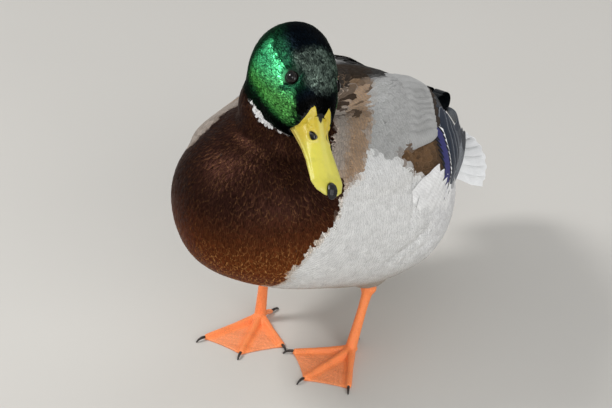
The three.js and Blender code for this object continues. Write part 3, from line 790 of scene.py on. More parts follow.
def lay_small(name, roots, rng, material, skin):
    """Small feathers from their roots along the lie of the coat, their tips lifted clear of the next."""
    points, normals = skin.nearest(roots)
    size = spacing(roots)
    depth = coat_depth(roots)
    count = len(roots)
    long = size * (LONG + 0.3 * rng.standard_normal(count))
    wide = size * (WIDE + 0.06 * rng.standard_normal(count))
    line = np.empty((count, len(ROWS), 3))
    up = np.empty_like(line)
    line[:, 0], up[:, 0] = points, normals
    way = lie(points, normals)
    wander = rng.standard_normal(count) * 0.1
    way = unit(way + np.cross(normals, way) * wander[:, None])
    for r in range(1, len(ROWS)):
        step = long * (ROWS[r] - ROWS[r - 1])
        place, normal = skin.nearest(line[:, r - 1] + way * step[:, None])
        line[:, r], up[:, r] = place, normal
        way = unit(0.6 * (way - normal * (way * normal).sum(1, keepdims=True)) + 0.4 * lie(place, normal))
    lift = np.interp(ROWS, [0, 0.3, 1], [-0.25, 0.25, 1.0])  # roots under the skin, tips at the coat's depth
    raised = line + up * (depth[:, None] * lift * (1 + 0.12 * rng.standard_normal(count)[:, None]))[..., None]
    half = wide[:, None] * OUTLINE
    middle = line[:, 3] + rng.standard_normal((count, 3)) * (size * 0.12)[:, None]
    colour, rim, rim_share, lines = markings(middle, rng.random(count))
    vary = 1 + 0.035 * rng.standard_normal((count, 1))
    tints = np.concatenate([np.clip(colour * vary, 0, 1), lines[:, None]], 1)[:, None, :]
    rims = np.concatenate([rim, rim_share[:, None]], 1)[:, None, :]
    piece = feather_mesh(name, raised, up, half, wide * 0.03, tints, rims, unwrap(roots))
    return settle(piece, material)


# ---- materials -------------------------------------------------------------------------------------------

BARB_STEP = 0.8  # from one drawn barb to the next


def add(tree, kind, inputs=None, **settings):
    """Adds a node with its settings by name, and its inputs by name or number.

    An input is a value, a socket to link, or a node whose first output is linked.
    """
    made = tree.nodes.new(kind)
    for key, value in settings.items():
        setattr(made, key, value)
    for key, value in (inputs or {}).items():
        if isinstance(value, bpy.types.Node):
            value = value.outputs[0]
        if isinstance(value, bpy.types.NodeSocket):
            tree.links.new(value, made.inputs[key])
        else:
            made.inputs[key].default_value = value
    return made


def new_material(name):
    material = bpy.data.materials.new(name)
    material.use_nodes = True
    material.node_tree.nodes.clear()
    return material, material.node_tree


def shaded(tree, colour, pattern, low, high, start=0.3, end=0.7):
    """A colour made darker and lighter, from low to high, by a pattern that runs from start to end."""
    share = add(tree, "ShaderNodeMapRange", {"Value": pattern, 1: start, 2: end, 3: low, 4: high})
    return add(tree, "ShaderNodeVectorMath", {0: colour, 3: share}, operation="SCALE")


def feather_material(
    name,
    roughness,
    gloss=0.35,
    metallic=0.0,
    strands=0.08,
    wave=1.6,
    strength=0.5,
    soft=0.0,
    hair=(2.2, 0.3),
    edge=(1, 1, 1),
):
    """Feather keratin: a vane of fine barbs beside a shaft, soft in gloss, with a pale fringe and wavy lines.

    strands is how much one strand of barbs differs from the next, and hair the scale of the strands across
    and along the vane. wave is the step of the wavy lines in millimetres, and strength their strength. soft
    lets light into a vane, and edge tints what shines on it. Single barbs are too fine to show, so they are
    drawn as coarse as BARB_STEP.
    """
    material, tree = new_material(name)
    tint = add(tree, "ShaderNodeAttribute", attribute_name="tint")
    rim = add(tree, "ShaderNodeAttribute", attribute_name="rim")
    inset = add(tree, "ShaderNodeAttribute", attribute_name="inset")
    vane = add(tree, "ShaderNodeUVMap", uv_map="Vane")
    where = add(tree, "ShaderNodeTexCoord").outputs["Object"]
    axes = add(tree, "ShaderNodeSeparateXYZ", {0: vane})

    # Wavy lines across the vane, broken up from place to place.
    wobble = add(tree, "ShaderNodeTexNoise", {"Vector": vane, "Scale": 0.35, "Detail": 2.0})
    bent = add(tree, "ShaderNodeMath", {0: wobble, 1: 3.0, 2: axes.outputs[1]}, operation="MULTIPLY_ADD")
    phase = add(tree, "ShaderNodeMath", {0: bent, 1: 2 * math.pi / wave}, operation="MULTIPLY")
    ripple = add(tree, "ShaderNodeMath", {0: phase}, operation="SINE")
    patchy = add(tree, "ShaderNodeTexNoise", {"Vector": where, "Scale": 450.0, "Detail": 1.0})
    ripple = add(tree, "ShaderNodeMath", {0: ripple, 1: patchy}, operation="MULTIPLY")
    darker = add(tree, "ShaderNodeMath", {0: ripple, 1: 0.5, 2: 0.25}, operation="MULTIPLY_ADD")
    darker = add(tree, "ShaderNodeMath", {0: darker, 1: tint.outputs["Alpha"]}, operation="MULTIPLY")
    darker = add(tree, "ShaderNodeMath", {0: darker, 1: strength}, operation="MULTIPLY", use_clamp=True)
    body = add(
        tree,
        "ShaderNodeMix",
        {"Factor": darker, 6: tint.outputs["Color"], 7: (0.16, 0.15, 0.14, 1)},
        data_type="RGBA",
    )

    # The fringe, frayed where strands of barbs part.
    laid = add(tree, "ShaderNodeMapping", {0: vane, 3: (*hair, 1.0)})
    fibre = add(tree, "ShaderNodeTexNoise", {"Vector": laid, "Detail": 2.0})
    frayed = add(tree, "ShaderNodeMapRange", {"Value": fibre, 1: 0.4, 2: 0.62, 3: 0.05, 4: 1.5})
    fringe = add(tree, "ShaderNodeMapRange", {"Value": inset.outputs["Fac"], 1: 0.1, 2: 1.1, 3: 1.0, 4: 0.0})
    fray = add(tree, "ShaderNodeMath", {0: fringe, 1: rim.outputs["Alpha"]}, operation="MULTIPLY")
    fray = add(tree, "ShaderNodeMath", {0: fray, 1: frayed}, operation="MULTIPLY", use_clamp=True)
    fringed = add(
        tree,
        "ShaderNodeMix",
        {"Factor": fray, 6: body.outputs[2], 7: rim.outputs["Color"]},
        data_type="RGBA",
    )

    mottle = add(tree, "ShaderNodeTexNoise", {"Vector": where, "Scale": 160.0, "Detail": 3.0})
    colour = shaded(tree, fringed.outputs[2], mottle, 0.94, 1.05)
    colour = shaded(tree, colour, fibre, 1 - strands, 1 + strands, 0.38, 0.62)
    slant = add(tree, "ShaderNodeMath", {0: axes.outputs[1], 1: axes.outputs[0]}, operation="ADD")
    barbs = add(tree, "ShaderNodeMath", {0: slant, 1: 2 * math.pi / BARB_STEP}, operation="MULTIPLY")
    barbs = add(tree, "ShaderNodeMath", {0: barbs}, operation="SINE")
    bump = add(tree, "ShaderNodeBump", {"Strength": 0.12, "Distance": 0.0003, "Height": barbs})
    rough = {"Value": mottle, 1: 0.3, 2: 0.7, 3: roughness - 0.08, 4: roughness + 0.08}
    shader = add(
        tree,
        "ShaderNodeBsdfPrincipled",
        {
            "Base Color": colour,
            "Roughness": add(tree, "ShaderNodeMapRange", rough),
            "Metallic": metallic,
            "Specular IOR Level": gloss,
            "Specular Tint": (*edge, 1),
            "Subsurface Weight": soft,
            "Subsurface Radius": (0.003, 0.003, 0.003),
            "Subsurface Scale": 1.0,
            "Normal": bump,
        },
    )
    add(tree, "ShaderNodeOutputMaterial", {"Surface": shader})
    return material


def skin_material():
    """Down over skin: matt fluff in the colours of the coat above it, darker in its depth."""
    material, tree = new_material("down")
    tint = add(tree, "ShaderNodeAttribute", attribute_name="tint")
    where = add(tree, "ShaderNodeTexCoord").outputs["Object"]
    fluff = add(tree, "ShaderNodeTexNoise", {"Vector": where, "Scale": 700.0, "Detail": 3.0})
    colour = shaded(tree, tint.outputs["Color"], fluff, 0.55, 0.95)
    bump = add(tree, "ShaderNodeBump", {"Strength": 0.4, "Distance": 0.0006, "Height": fluff})
    shader = add(tree, "ShaderNodeBsdfPrincipled", {"Base Color": colour, "Roughness": 0.9, "Normal": bump})
    add(tree, "ShaderNodeOutputMaterial", {"Surface": shader})
    return material


def horn_material(name, colour, roughness, gloss=0.4):
    """Keratin horn, and the bare skin of the lids: dense and polished by wear, with faint growth lines."""
    material, tree = new_material(name)
    where = add(tree, "ShaderNodeTexCoord").outputs["Object"]
    grain = add(tree, "ShaderNodeTexNoise", {"Vector": where, "Scale": 900.0, "Detail": 4.0})
    tinted = shaded(tree, tuple(colour), grain, 0.7, 1.5)
    bump = add(tree, "ShaderNodeBump", {"Strength": 0.15, "Distance": 0.0002, "Height": grain})
    rough = {"Value": grain, 1: 0.3, 2: 0.7, 3: roughness, 4: roughness + 0.15}
    shader = add(
        tree,
        "ShaderNodeBsdfPrincipled",
        {
            "Base Color": tinted,
            "Roughness": add(tree, "ShaderNodeMapRange", rough),
            "Specular IOR Level": gloss,
            "Normal": bump,
        },
    )
    add(tree, "ShaderNodeOutputMaterial", {"Surface": shader})
    return material


def bill_material():
    """The bill's leathery keratin: satin, yellow, with olive stains and fine pores."""
    material, tree = new_material("bill_keratin")
    tint = add(tree, "ShaderNodeAttribute", attribute_name="tint")
    where = add(tree, "ShaderNodeTexCoord").outputs["Object"]
    blots = {"Vector": where, "Scale": 110.0, "Detail": 4.0, "Roughness": 0.6}
    stain = add(tree, "ShaderNodeTexNoise", blots)
    share = add(tree, "ShaderNodeMapRange", {"Value": stain, 1: 0.5, 2: 0.75, 3: 0.0, 4: 0.4})
    mixed = add(
        tree,
        "ShaderNodeMix",
        {"Factor": share, 6: tint.outputs["Color"], 7: (*linear("#9a9a3a"), 1)},
        data_type="RGBA",
    )
    pores = add(tree, "ShaderNodeTexVoronoi", {"Vector": where, "Scale": 1400.0})
    fine = add(tree, "ShaderNodeTexNoise", {"Vector": where, "Scale": 600.0, "Detail": 3.0})
    height = add(tree, "ShaderNodeMath", {0: pores, 1: fine}, operation="ADD")
    bump = add(tree, "ShaderNodeBump", {"Strength": 0.2, "Distance": 0.0002, "Height": height})
    shader = add(
        tree,
        "ShaderNodeBsdfPrincipled",
        {
            "Base Color": mixed.outputs[2],
            "Roughness": add(tree, "ShaderNodeMapRange", {"Value": fine, 1: 0.3, 2: 0.7, 3: 0.3, 4: 0.48}),
            "Subsurface Weight": 0.08,
            "Subsurface Radius": (0.002, 0.0012, 0.0005),
            "Subsurface Scale": 1.0,
            "Normal": bump,
        },
    )
    add(tree, "ShaderNodeOutputMaterial", {"Surface": shader})
    return material


def leg_material():
    """Scaled skin of shank, toes and webs: leathery, with small raised scutes, a little moist in gloss."""
    material, tree = new_material("leg_scales")
    tint = add(tree, "ShaderNodeAttribute", attribute_name="tint")
    where = add(tree, "ShaderNodeTexCoord").outputs["Object"]
    scutes = add(tree, "ShaderNodeTexVoronoi", {"Vector": where, "Scale": 620.0}, feature="DISTANCE_TO_EDGE")
    flat = add(tree, "ShaderNodeMapRange", {"Value": scutes, 1: 0.0, 2: 0.25, 3: 0.0, 4: 1.0})
    colour = shaded(tree, tint.outputs["Color"], flat, 0.92, 1.14, 0.0, 1.0)
    bump = add(tree, "ShaderNodeBump", {"Strength": 0.5, "Distance": 0.0004, "Height": flat})
    wear = add(tree, "ShaderNodeTexNoise", {"Vector": where, "Scale": 300.0, "Detail": 3.0})
    shader = add(
        tree,
        "ShaderNodeBsdfPrincipled",
        {
            "Base Color": colour,
            "Roughness": add(tree, "ShaderNodeMapRange", {"Value": wear, 1: 0.3, 2: 0.7, 3: 0.38, 4: 0.6}),
            "Subsurface Weight": 0.08,
            "Subsurface Radius": (0.002, 0.0008, 0.0004),
            "Subsurface Scale": 1.0,
            "Normal": bump,
        },
    )
    add(tree, "ShaderNodeOutputMaterial", {"Surface": shader})
    return material


def eye_material():
    """A wet eyeball: near-black pupil in a dark brown iris under a clear cornea."""
    material, tree = new_material("eye_wet")
    tint = add(tree, "ShaderNodeAttribute", attribute_name="tint")
    where = add(tree, "ShaderNodeTexCoord").outputs["Object"]
    fibres = add(tree, "ShaderNodeTexNoise", {"Vector": where, "Scale": 1500.0, "Detail": 2.0})
    shader = add(
        tree,
        "ShaderNodeBsdfPrincipled",
        {
            "Base Color": shaded(tree, tint.outputs["Color"], fibres, 0.7, 1.3),
            "Roughness": 0.08,
            "Coat Weight": 0.4,
            "Coat Roughness": 0.02,
            "Specular IOR Level": 0.2,
        },
    )
    add(tree, "ShaderNodeOutputMaterial", {"Surface": shader})
    return material


# ---- operators -------------------------------------------------------------------------------------------

# The nodes that the skin stands for.
FLESH = ["trunk", "neck", "head"]
FLESH += [f"{part}_{side}" for part in ("scapulars", "tertials", "wing", "thigh") for _, side in SIDES]
# The two low folds of each flank: start and end in y and z, and depth.
LOW_FOLDS = (((-16, 91), (28, 106), 1.1), ((-6, 84), (34, 95), 0.7))


class DUCK_OT_skin(bpy.types.Operator):
    """One closed skin over head, neck, trunk, wings and thighs, inside the coat by its depth"""

    bl_idname = "duck.skin"
    bl_label = "Skin"

    def execute(self, context):
        swell = 0.35
        piece = moulded("skin", FLESH, mm("skin_grain"), swell)

        # Seams between the solids melt away, but less on the head, at the ring and on the thighs.
        points = points_of(piece)
        above = over_ring(points)
        on_head = ease(-16, 8, above)
        share = 1 - 0.72 * on_head - 0.18 * on_head * ease(14, 0, in_head(points)[:, 1])
        share = share * (1 - 0.6 * hump(above, 0, 12))
        share = np.where(points[:, 2] < 64, 0.4, share)
        relax(piece, 80, share)

        # Room for the coat and folds of the flanks, and for the eyeballs, each in a socket that fits it.
        points, normals = points_of(piece), normals_of(piece)
        points = points - normals * (coat_depth(points) + swell - 0.55 * share)[:, None]
        points = points - normals * self.folds(points)[:, None]
        radius = mm("eye_radius")
        for side, _ in SIDES:
            off = points - eye_centre(side)
            distance = np.linalg.norm(off, axis=1)
            near = distance < radius + 0.5
            points[near] = eye_centre(side) + off[near] / distance[near, None] * (radius - 0.9)
        set_points(piece, points)
        relax(piece, 2, np.full(len(points), 0.5))
        paint(piece, "tint", markings(points_of(piece))[0])
        settle(piece, skin_material(), FLESH)
        skins["body"] = Skin(piece)
        return {"FINISHED"}

    def folds(self, points):
        """Depth of the soft folds of each flank: one before the rear plumes, and two low ones behind it."""
        x, y, z = points.T
        beside = ease(55, 65, np.abs(x - TRUNK_SHIFT))
        front = np.interp(z, [110, 119, 129, 140, 156, 165], [2, 5.4, 10.1, 12, 14.5, 16])
        depth = 1.3 * hump(y - front, 0, 3) * ease(106, 122, z) * ease(168, 158, z)
        depth = depth - 0.7 * hump(y - front, 13, 8) * ease(104, 122, z) * ease(162, 150, z)
        for start, end, deep in LOW_FOLDS:
            off, share = from_line(points[:, 1:], np.array(start, float), np.array(end, float))
            depth = depth + deep * hump(off, 0, 3.2) * ease(0, 0.2, share) * ease(1, 0.8, share)
        return 1.9 * depth * beside


# The bill from tip to root, in its own frame: half width, and height of its top and of its mouth line.
BILL = {
    "along": [-55, -47, -37, -25, -12, 0, 14],
    "wide": [10.2, 12.75, 12.4, 11.2, 10.2, 10.6, 11.9],
    "top": [-12.5, -11, -9.6, -7.6, -4.2, 0, 3],
    "mouth": [-16.5, -16.5, -15.5, -15, -16, -17.5, -19],
}
NOSTRIL = (8.2, -10.5, -6.6)  # of the left side, in the bill's frame
NOSTRIL_HALF = (4.2, 4.1, 2.0)
# The outline of the bill's base on the face, by distance from its middle.
SHIELD = {
    "across": [0, 1.4, 3.0, 4.9, 5.7, 7.8, 9.6, 11.2, 11.5],
    "top": [-1.8, -0.8, 2.0, 5.8, 6.0, 3.9, 0, -4.4, -8],
}


def bill_line(key, along):
    return np.interp(along, BILL["along"], BILL[key])


def shield_top(across):
    return np.interp(np.abs(across), SHIELD["across"], SHIELD["top"])


class DUCK_OT_bill(bpy.types.Operator):
    """The bill's two halves, with their ridges, and the nail"""

    bl_idname = "duck.bill"
    bl_label = "Bill"

    def execute(self, context):
        material = bill_material()
        for node, finished in (("bill_upper", self.upper), ("bill_lower", self.lower)):
            piece = finished(copied(node.replace("bill_", "beak_"), [node]))
            settle(piece, material, [node])
        nail = moulded("nail", ["bill_nail"], mm("claw_grain"))
        relax(nail, 8)
        settle(nail, horn_material("nail_horn", hue("nail"), 0.3), ["bill_nail"])
        return {"FINISHED"}

    def highlighted_and_stained(self, colour, bill):
        """Both halves: a painted highlight along the middle, paler along the mouth line, and an olive stain
        at the tip.
        """
        across, along, up = np.abs(bill[:, 0]), bill[:, 1], bill[:, 2]
        # A painted highlight along the bill's middle; paler along the mouth line too.
        pale = ease(3.2, 0.6, across) * ease(-40, -5, along) + 0.6 * ease(-13.5, -15.5, up)
        colour = blend(colour, linear("#d8d27f"), np.clip(pale, 0, 1) * 0.5)
        return blend(colour, linear("#b9b04a"), ease(-38, -50, along) * 0.35)

    def upper(self, piece):
        """The upper half with nostrils, a lip, a ridge on each side of its root, and its base on the face."""
        skin = skins["body"]
        piece = joined(self.bored(piece), self.shield(skin))
        remeshed(piece, mm("bill_grain"))
        relax(piece, 10)
        points, normals = points_of(piece), normals_of(piece)
        bill, near = in_bill(points), in_head(points)
        across, along, up = np.abs(bill[:, 0]), bill[:, 1], bill[:, 2]
        set_points(piece, self.flush(points, skin))
        relax(piece, 10, ease(-15, -9, along) * (1 - 0.8 * ease(0.5, 3, near[:, 2])))

        hole = np.hypot((along - NOSTRIL[1]) / NOSTRIL_HALF[1], (up - NOSTRIL[2]) / NOSTRIL_HALF[2])
        rim = hump(hole, 1.25, 0.22) * ease(3.0, 4.5, across)
        lip = hump(up - bill_line("mouth", along), 2.2, 0.7) * ease(-53, -46, along)
        crest = np.interp(along, [-18, -9, 0], [3.4, 4.0, 5.6])
        ridge = hump(across, crest, 0.9) * ease(-19, -12, along) * ease(2, -2, along)
        set_points(piece, points_of(piece) + normals * (0.4 * rim - 0.35 * lip + 0.35 * ridge)[:, None])

        forehead = ease(-0.5, 0.1, near[:, 2] - shield_top(near[:, 0])) * ease(5.4, 4.6, np.abs(near[:, 0]))
        colour = even(hue("bill"), len(points))
        # Painted highlights on the nostrils' rims and on the ridges at the bill's root.
        colour = blend(colour, linear("#ddd58a"), np.clip(0.55 * rim + 0.4 * ridge, 0, 1))
        colour = blend(colour, linear("#c0a420"), ease(-22, -5, along) * 0.75)
        colour = self.highlighted_and_stained(colour, bill)
        # Painted shade: near black in the nostrils' holes.
        colour = blend(colour, linear("#090806"), ease(1.02, 0.86, hole) * ease(7.4, 6.6, across))
        paint(piece, "tint", blend(colour, hue("lore"), forehead))
        return piece

    def lower(self, piece):
        """The lower half, browner than the upper one."""
        remeshed(piece, mm("bill_grain"))
        relax(piece, 10)
        points = points_of(piece)
        colour = self.highlighted_and_stained(even(hue("bill"), len(points)), in_bill(points))
        paint(piece, "tint", blend(colour, linear("#a06a2a"), 0.45))
        return piece

    def bored(self, piece):
        """A nostril on each side, with the bill closed between them."""
        for side, _ in SIDES:
            cutter = egg("nostril_cutter", np.array(NOSTRIL) * (side, 1, 1), NOSTRIL_HALF)
            apply(piece, "BOOLEAN", operation="DIFFERENCE", object=cutter, solver="EXACT")
            bpy.data.objects.remove(cutter)
        core = egg("nostril_core", (0, NOSTRIL[1], NOSTRIL[2]), (3.6, 5.4, 2.8))
        return joined(piece, core)

    def shield(self, skin):
        """The bill's yellow base on the face: a thin plate, with a prong on each side of the forehead."""
        rows, columns, over, under = 31, 59, 0.5, 1.6
        across = np.linspace(-11.5, 11.5, columns)
        top = shield_top(across)
        low = np.interp(np.abs(across), [0, 9, 11.5], [-12, -15.5, -13.5])
        front = np.empty((rows, columns, 3))
        rear = np.empty_like(front)
        ahead = Vector(HEAD_TURN @ np.array((0, 1.0, 0)))
        for r, share in enumerate(np.linspace(0, 1, rows)):
            for c, x in enumerate(across):
                up = low[c] + (top[c] - low[c]) * share
                place, normal, _, _ = skin.tree.ray_cast(Vector(from_head((x, -40, up))), ahead)
                if place is None or in_head(np.array(place))[1] > 6:
                    place, normal = from_head((x, 4, up)), -np.array(ahead)
                front[r, c] = np.array(place) + np.array(normal) * over
                rear[r, c] = np.array(place) - np.array(normal) * under
        return slab("shield", front, rear)

    def flush(self, points, skin):
        """Lays what stands up round the bill's base down on the bill or on the face."""
        points = points.copy()
        near, bill = in_head(points), in_bill(points)
        wide, top, mouth = (bill_line(key, bill[:, 1]) for key in ("wide", "top", "mouth"))
        rise = np.sqrt(np.clip(1 - (bill[:, 0] / wide) ** 2, 0, 1)) ** 0.85
        over_bill = bill[:, 2] - mouth - (top - mouth) * rise - 0.1
        buried = (near[:, 1] > -5) & (near[:, 2] > shield_top(near[:, 0]))
        chosen = np.nonzero(((near[:, 1] > -9) & (near[:, 2] > -9) & (over_bill > 0)) | buried)[0]
        for i in chosen:
            place, normal, _, _ = skin.tree.find_nearest(Vector(points[i]))
            over_skin = (points[i] - np.array(place)) @ np.array(normal) - 0.5
            if buried[i]:
                points[i] -= np.array(normal) * max(over_skin + 1.3, 0.0)
            elif over_skin > over_bill[i]:
                points[i] -= BILL_TURN @ np.array((0, 0, over_bill[i]))
            elif over_skin > 0:
                points[i] -= np.array(normal) * over_skin
        return points


TOES = {"inner": 41.0, "middle": 50.0, "outer": 48.0}  # lengths of the front toes
TOE_ROOT = 38.5  # from the bird's middle to where a foot's toes part
# How far each foot is turned, and the angles from its middle toe to the other two.
LEGS = {
    "left": {"side": 1, "turn": -7, "inner": 46, "outer": 39},
    "right": {"side": -1, "turn": 19, "inner": 38, "outer": 39},
}


def toe_lines(leg):
    """Start and end of each front toe on the floor."""
    root = np.array((leg["side"] * TOE_ROOT, 0.0))
    bearing = {
        "inner": leg["turn"] - leg["side"] * leg["inner"],
        "middle": leg["turn"],
        "outer": leg["turn"] + leg["side"] * leg["outer"],
    }
    lines = []
    for toe, length in TOES.items():
        angle = math.radians(bearing[toe])
        lines.append((root, root + length * np.array((math.sin(angle), -math.cos(angle)))))
    return lines


class DUCK_OT_legs(bpy.types.Operator):
    """Shanks and webbed feet, one skin for each leg, and the claws"""

    bl_idname = "duck.legs"
    bl_label = "Legs"

    def execute(self, context):
        material = leg_material()
        horn = horn_material("claw_horn", hue("claw"), 0.35)
        for side, leg in LEGS.items():
            nodes = [f"tarsus_{side}", f"foot_{side}"]
            piece = moulded(f"leg_{side}", nodes, mm("leg_grain"), swell=0.2)
            relax(piece, 9)
            points = points_of(piece)
            lines = toe_lines(leg)
            off = np.min([from_line(points[:, :2], *line)[0] for line in lines], axis=0)
            share = from_line(points[:, :2], *lines[1])[1]
            web = ease(3.0, 6.5, off) * (points[:, 2] < 4)
            ripple = np.sin(off * 2.1) * 0.12 + np.sin(share * 70) * 0.1
            points[:, 2] += web * ripple * (points[:, 2] > 0.8)
            points[:, 2] = np.maximum(points[:, 2], 0)
            set_points(piece, points)
            joints = hump((share * 3) % 1, 0.5, 0.16) * ease(6, 3, points[:, 2])
            colour = blend(even(hue("leg"), len(points)), hue("web"), web * 0.8)
            paint(piece, "tint", blend(colour, hue("leg") * 0.7, joints * 0.3))
            settle(piece, material, nodes)
            claws = [f"claw_{toe}_{side}" for toe in ("inner", "middle", "outer", "hind")]
            piece = moulded(f"claws_{side}", claws, mm("claw_grain"))
            relax(piece, 5)
            points = points_of(piece)
            points[:, 2] = np.maximum(points[:, 2], 0)
            set_points(piece, points)
            settle(piece, horn, claws)
        return {"FINISHED"}


class DUCK_OT_eyes(bpy.types.Operator):
    """Eyeballs with cornea, and the lids round them"""

    bl_idname = "duck.eyes"
    bl_label = "Eyes"

    def execute(self, context):
        material = eye_material()
        lid_material = horn_material("lid_skin", linear("#16130f"), 0.5, gloss=0.15)
        radius = mm("eye_radius")
        for side, name in SIDES:
            outward = unit(HEAD_TURN @ np.array((side * 0.93, -0.12, 0.3)))
            piece, local = ball(f"eyeball_{name}", 48, 32)
            spin = Vector((0, 0, 1)).rotation_difference(Vector(outward)).to_matrix()
            reach = local[:, 2]
            bulge = 1 + 0.05 * ease(0.72, 0.95, reach)
            set_points(piece, eye_centre(side) + (local * bulge[:, None] * radius) @ np.array(spin).T)
            bpy.ops.object.shade_smooth()
            pupil = ease(0.78, 0.82, reach)
            paint(piece, "tint", blend(even(hue("iris"), len(local)), linear("#050505"), pupil))
            settle(piece, material, [f"eye_{name}"])
            self.lid(name, side, outward, radius, lid_material)
        return {"FINISHED"}

    def lid(self, name, side, outward, radius, material):
        """A soft round rim, oval in section, round the eye's opening."""
        forward = HEAD_TURN @ np.array((0, -1.0, 0))
        forward = unit(forward - outward * (forward @ outward))
        upward = np.cross(outward, forward) * side
        if upward @ (HEAD_TURN @ np.array((0, 0, 1.0))) < 0:
            upward = -upward
        around, section = 64, 10
        opening, thick, deep = 3.3, 0.6, 0.35
        rows = []
        for i in range(around):
            a = 2 * math.pi * i / around
            way = forward * math.cos(a) * opening + upward * math.sin(a) * opening
            reach = np.linalg.norm(way)
            depth = math.sqrt(max(radius**2 - reach**2, 0.0))
            out = unit(way)
            middle = eye_centre(side) + way + outward * depth
            for j in range(section):
                b = 2 * math.pi * j / section
                off = out * (math.cos(b) * thick + 0.3)
                rows.append(middle + off + outward * (math.sin(b) * deep - 0.1))
        faces = []
        for i in range(around):
            for j in range(section):
                a, b = i * section + j, i * section + (j + 1) % section
                c, d = (i + 1) % around * section + j, (i + 1) % around * section + (j + 1) % section
                faces += [(a, b, d), (a, d, c)]
        piece = face_out(new_mesh(f"eyelid_{name}", np.array(rows), np.array(faces)))
        bpy.ops.object.shade_smooth()
        settle(piece, material)


class DUCK_OT_coat(bpy.types.Operator):
    """Small feathers all over head, neck, breast, flanks, back and thighs"""

    bl_idname = "duck.coat"
    bl_label = "Coat"

    def execute(self, context):
        rng = np.random.default_rng(7)
        skin = skins["body"]
        roots = skin.scatter(rng)
        roots = roots[self.free(roots)]
        # Barbs in thin layers that mirror the light coloured: a metal's shine, broken into fine streaks.
        glossy = feather_material(
            "head_plumage",
            0.36,
            gloss=0.05,
            metallic=0.8,
            strands=0.75,
            strength=0.0,
            hair=(0.26, 0.07),
            edge=(0.1, 0.2, 0.16),
        )
        # Stiff chestnut barbs: a weaker and warmer shine, with dark lines across the vanes.
        chest = feather_material(
            "breast_plumage",
            0.38,
            gloss=0.05,
            metallic=0.55,
            strands=0.35,
            wave=2.2,
            strength=0.9,
            hair=(0.3, 0.05),
            edge=(0.3, 0.18, 0.12),
        )
        # Loose pale barbs that light goes into: matt, with fine wavy grey lines.
        soft = feather_material(
            "body_plumage", 0.6, gloss=0.15, strands=0.18, wave=2.2, strength=0.8, soft=0.3, hair=(1.2, 0.2)
        )
        # Worn dark barbs: matt, and dark at every angle.
        dusky = feather_material(
            "mantle_plumage",
            0.6,
            gloss=0.04,
            strands=0.3,
            strength=0.0,
            hair=(0.4, 0.06),
            edge=(0.3, 0.2, 0.15),
        )

        # Each piece takes the feathers of one place. Where dark and pale ones meet, a feather belongs to the
        # piece of its own colour, so that it has the right material.
        x, y, z = roots.T
        angle = girth_angle(roots)
        places, normals = skin.nearest(roots)
        middle = places + lie(places, normals) * 1.6 * spacing(roots)[:, None]
        pale = markings(middle)[0].mean(1) > 0.3
        above = over_ring(roots)
        collar = pale & (np.abs(above) < 7) & (z > 165)
        head = (above > 1.5) & ~collar
        front = ~head & ~pale & (y < breast_edge(z))
        upper = ~head & ~front & ~collar & (angle > 34)
        rest = ~head & ~front & ~collar & ~upper
        ridge = upper & (angle > 81) & (y > -40)
        face = in_head(roots)[:, 1] < 26
        groups = {
            "feathers_face": (head & face, "head_feathers", glossy),
            "feathers_head": (head & ~face, "head_feathers", glossy),
            "feathers_ring": (collar, "head_feathers", soft),
            "feathers_breast": (front, "breast_feathers", chest),
            "feathers_back": (upper & ~ridge, "body_feathers", soft),
            "feathers_mantle": (ridge, "body_feathers", dusky),
            "feathers_left_flank": (rest & (x >= TRUNK_SHIFT), "body_feathers", soft),
            "feathers_right_flank": (rest & (x < TRUNK_SHIFT), "body_feathers", soft),
        }
        for name, (mask, slot, material) in groups.items():
            lay_small(name, roots[mask], rng, material, skin)
        return {"FINISHED"}

    def free(self, roots):
        """Roots clear of the bill and of the eyes."""
        clear = np.ones(len(roots), bool)
        close = np.nonzero((in_head(roots)[:, 1] < 14) & (roots[:, 2] > 185))[0]
        for name in ("beak_upper", "beak_lower"):
            piece = bpy.data.objects[name]
            tree = BVHTree.FromPolygons(points_of(piece).tolist(), triangles_of(piece).tolist())
            for i in close:
                place, normal, _, distance = tree.find_nearest(Vector(roots[i]))
                inside = (Vector(roots[i]) - place).dot(normal) < 0
                clear[i] &= distance > 0.12 and not inside
        for side, _ in SIDES:
            clear &= np.linalg.norm(roots - eye_centre(side), axis=1) > mm("eye_radius") + 0.6
        return clear


PALE_EDGE = linear("#aab0b8")  # of the flight feathers


def large_feathers(name, feathers, material, nodes=(), crown=0.4, skew=0.0, wavy=0.0):
    """One piece of large vanes, each with line, normals, half widths, colours, rim colour and rim share."""
    lines, ups, halves = (np.array([feather[k] for feather in feathers], float) for k in range(3))
    tints = np.array([np.column_stack([f[3], np.full(len(f[0]), wavy)]) for f in feathers])
    rims = np.array([np.append(f[4], f[5]) for f in feathers])[:, None, :]
    crowns, places = np.full(len(lines), crown), unwrap(lines[:, 0])
    piece = feather_mesh(name, lines, ups, halves, crowns, tints, rims, places, columns=5, skew=skew)
    return settle(piece, material, nodes)


def over_skin(skin, side, start, end, share, rise):
    """A line over the trunk from one (y, angle) to another, raised off the skin, and the normals under it."""
    line, up = [], []
    for t, height in zip(share, rise):
        y, angle = np.array(start) + (np.array(end) - start) * t
        place, normal = skin.ray(y, angle, side)
        outward = np.array((side * math.cos(math.radians(angle)), 0, math.sin(math.radians(angle))))
        normal = unit(normal + outward)
        line.append(place + normal * height)
        up.append(normal)
    return line, up


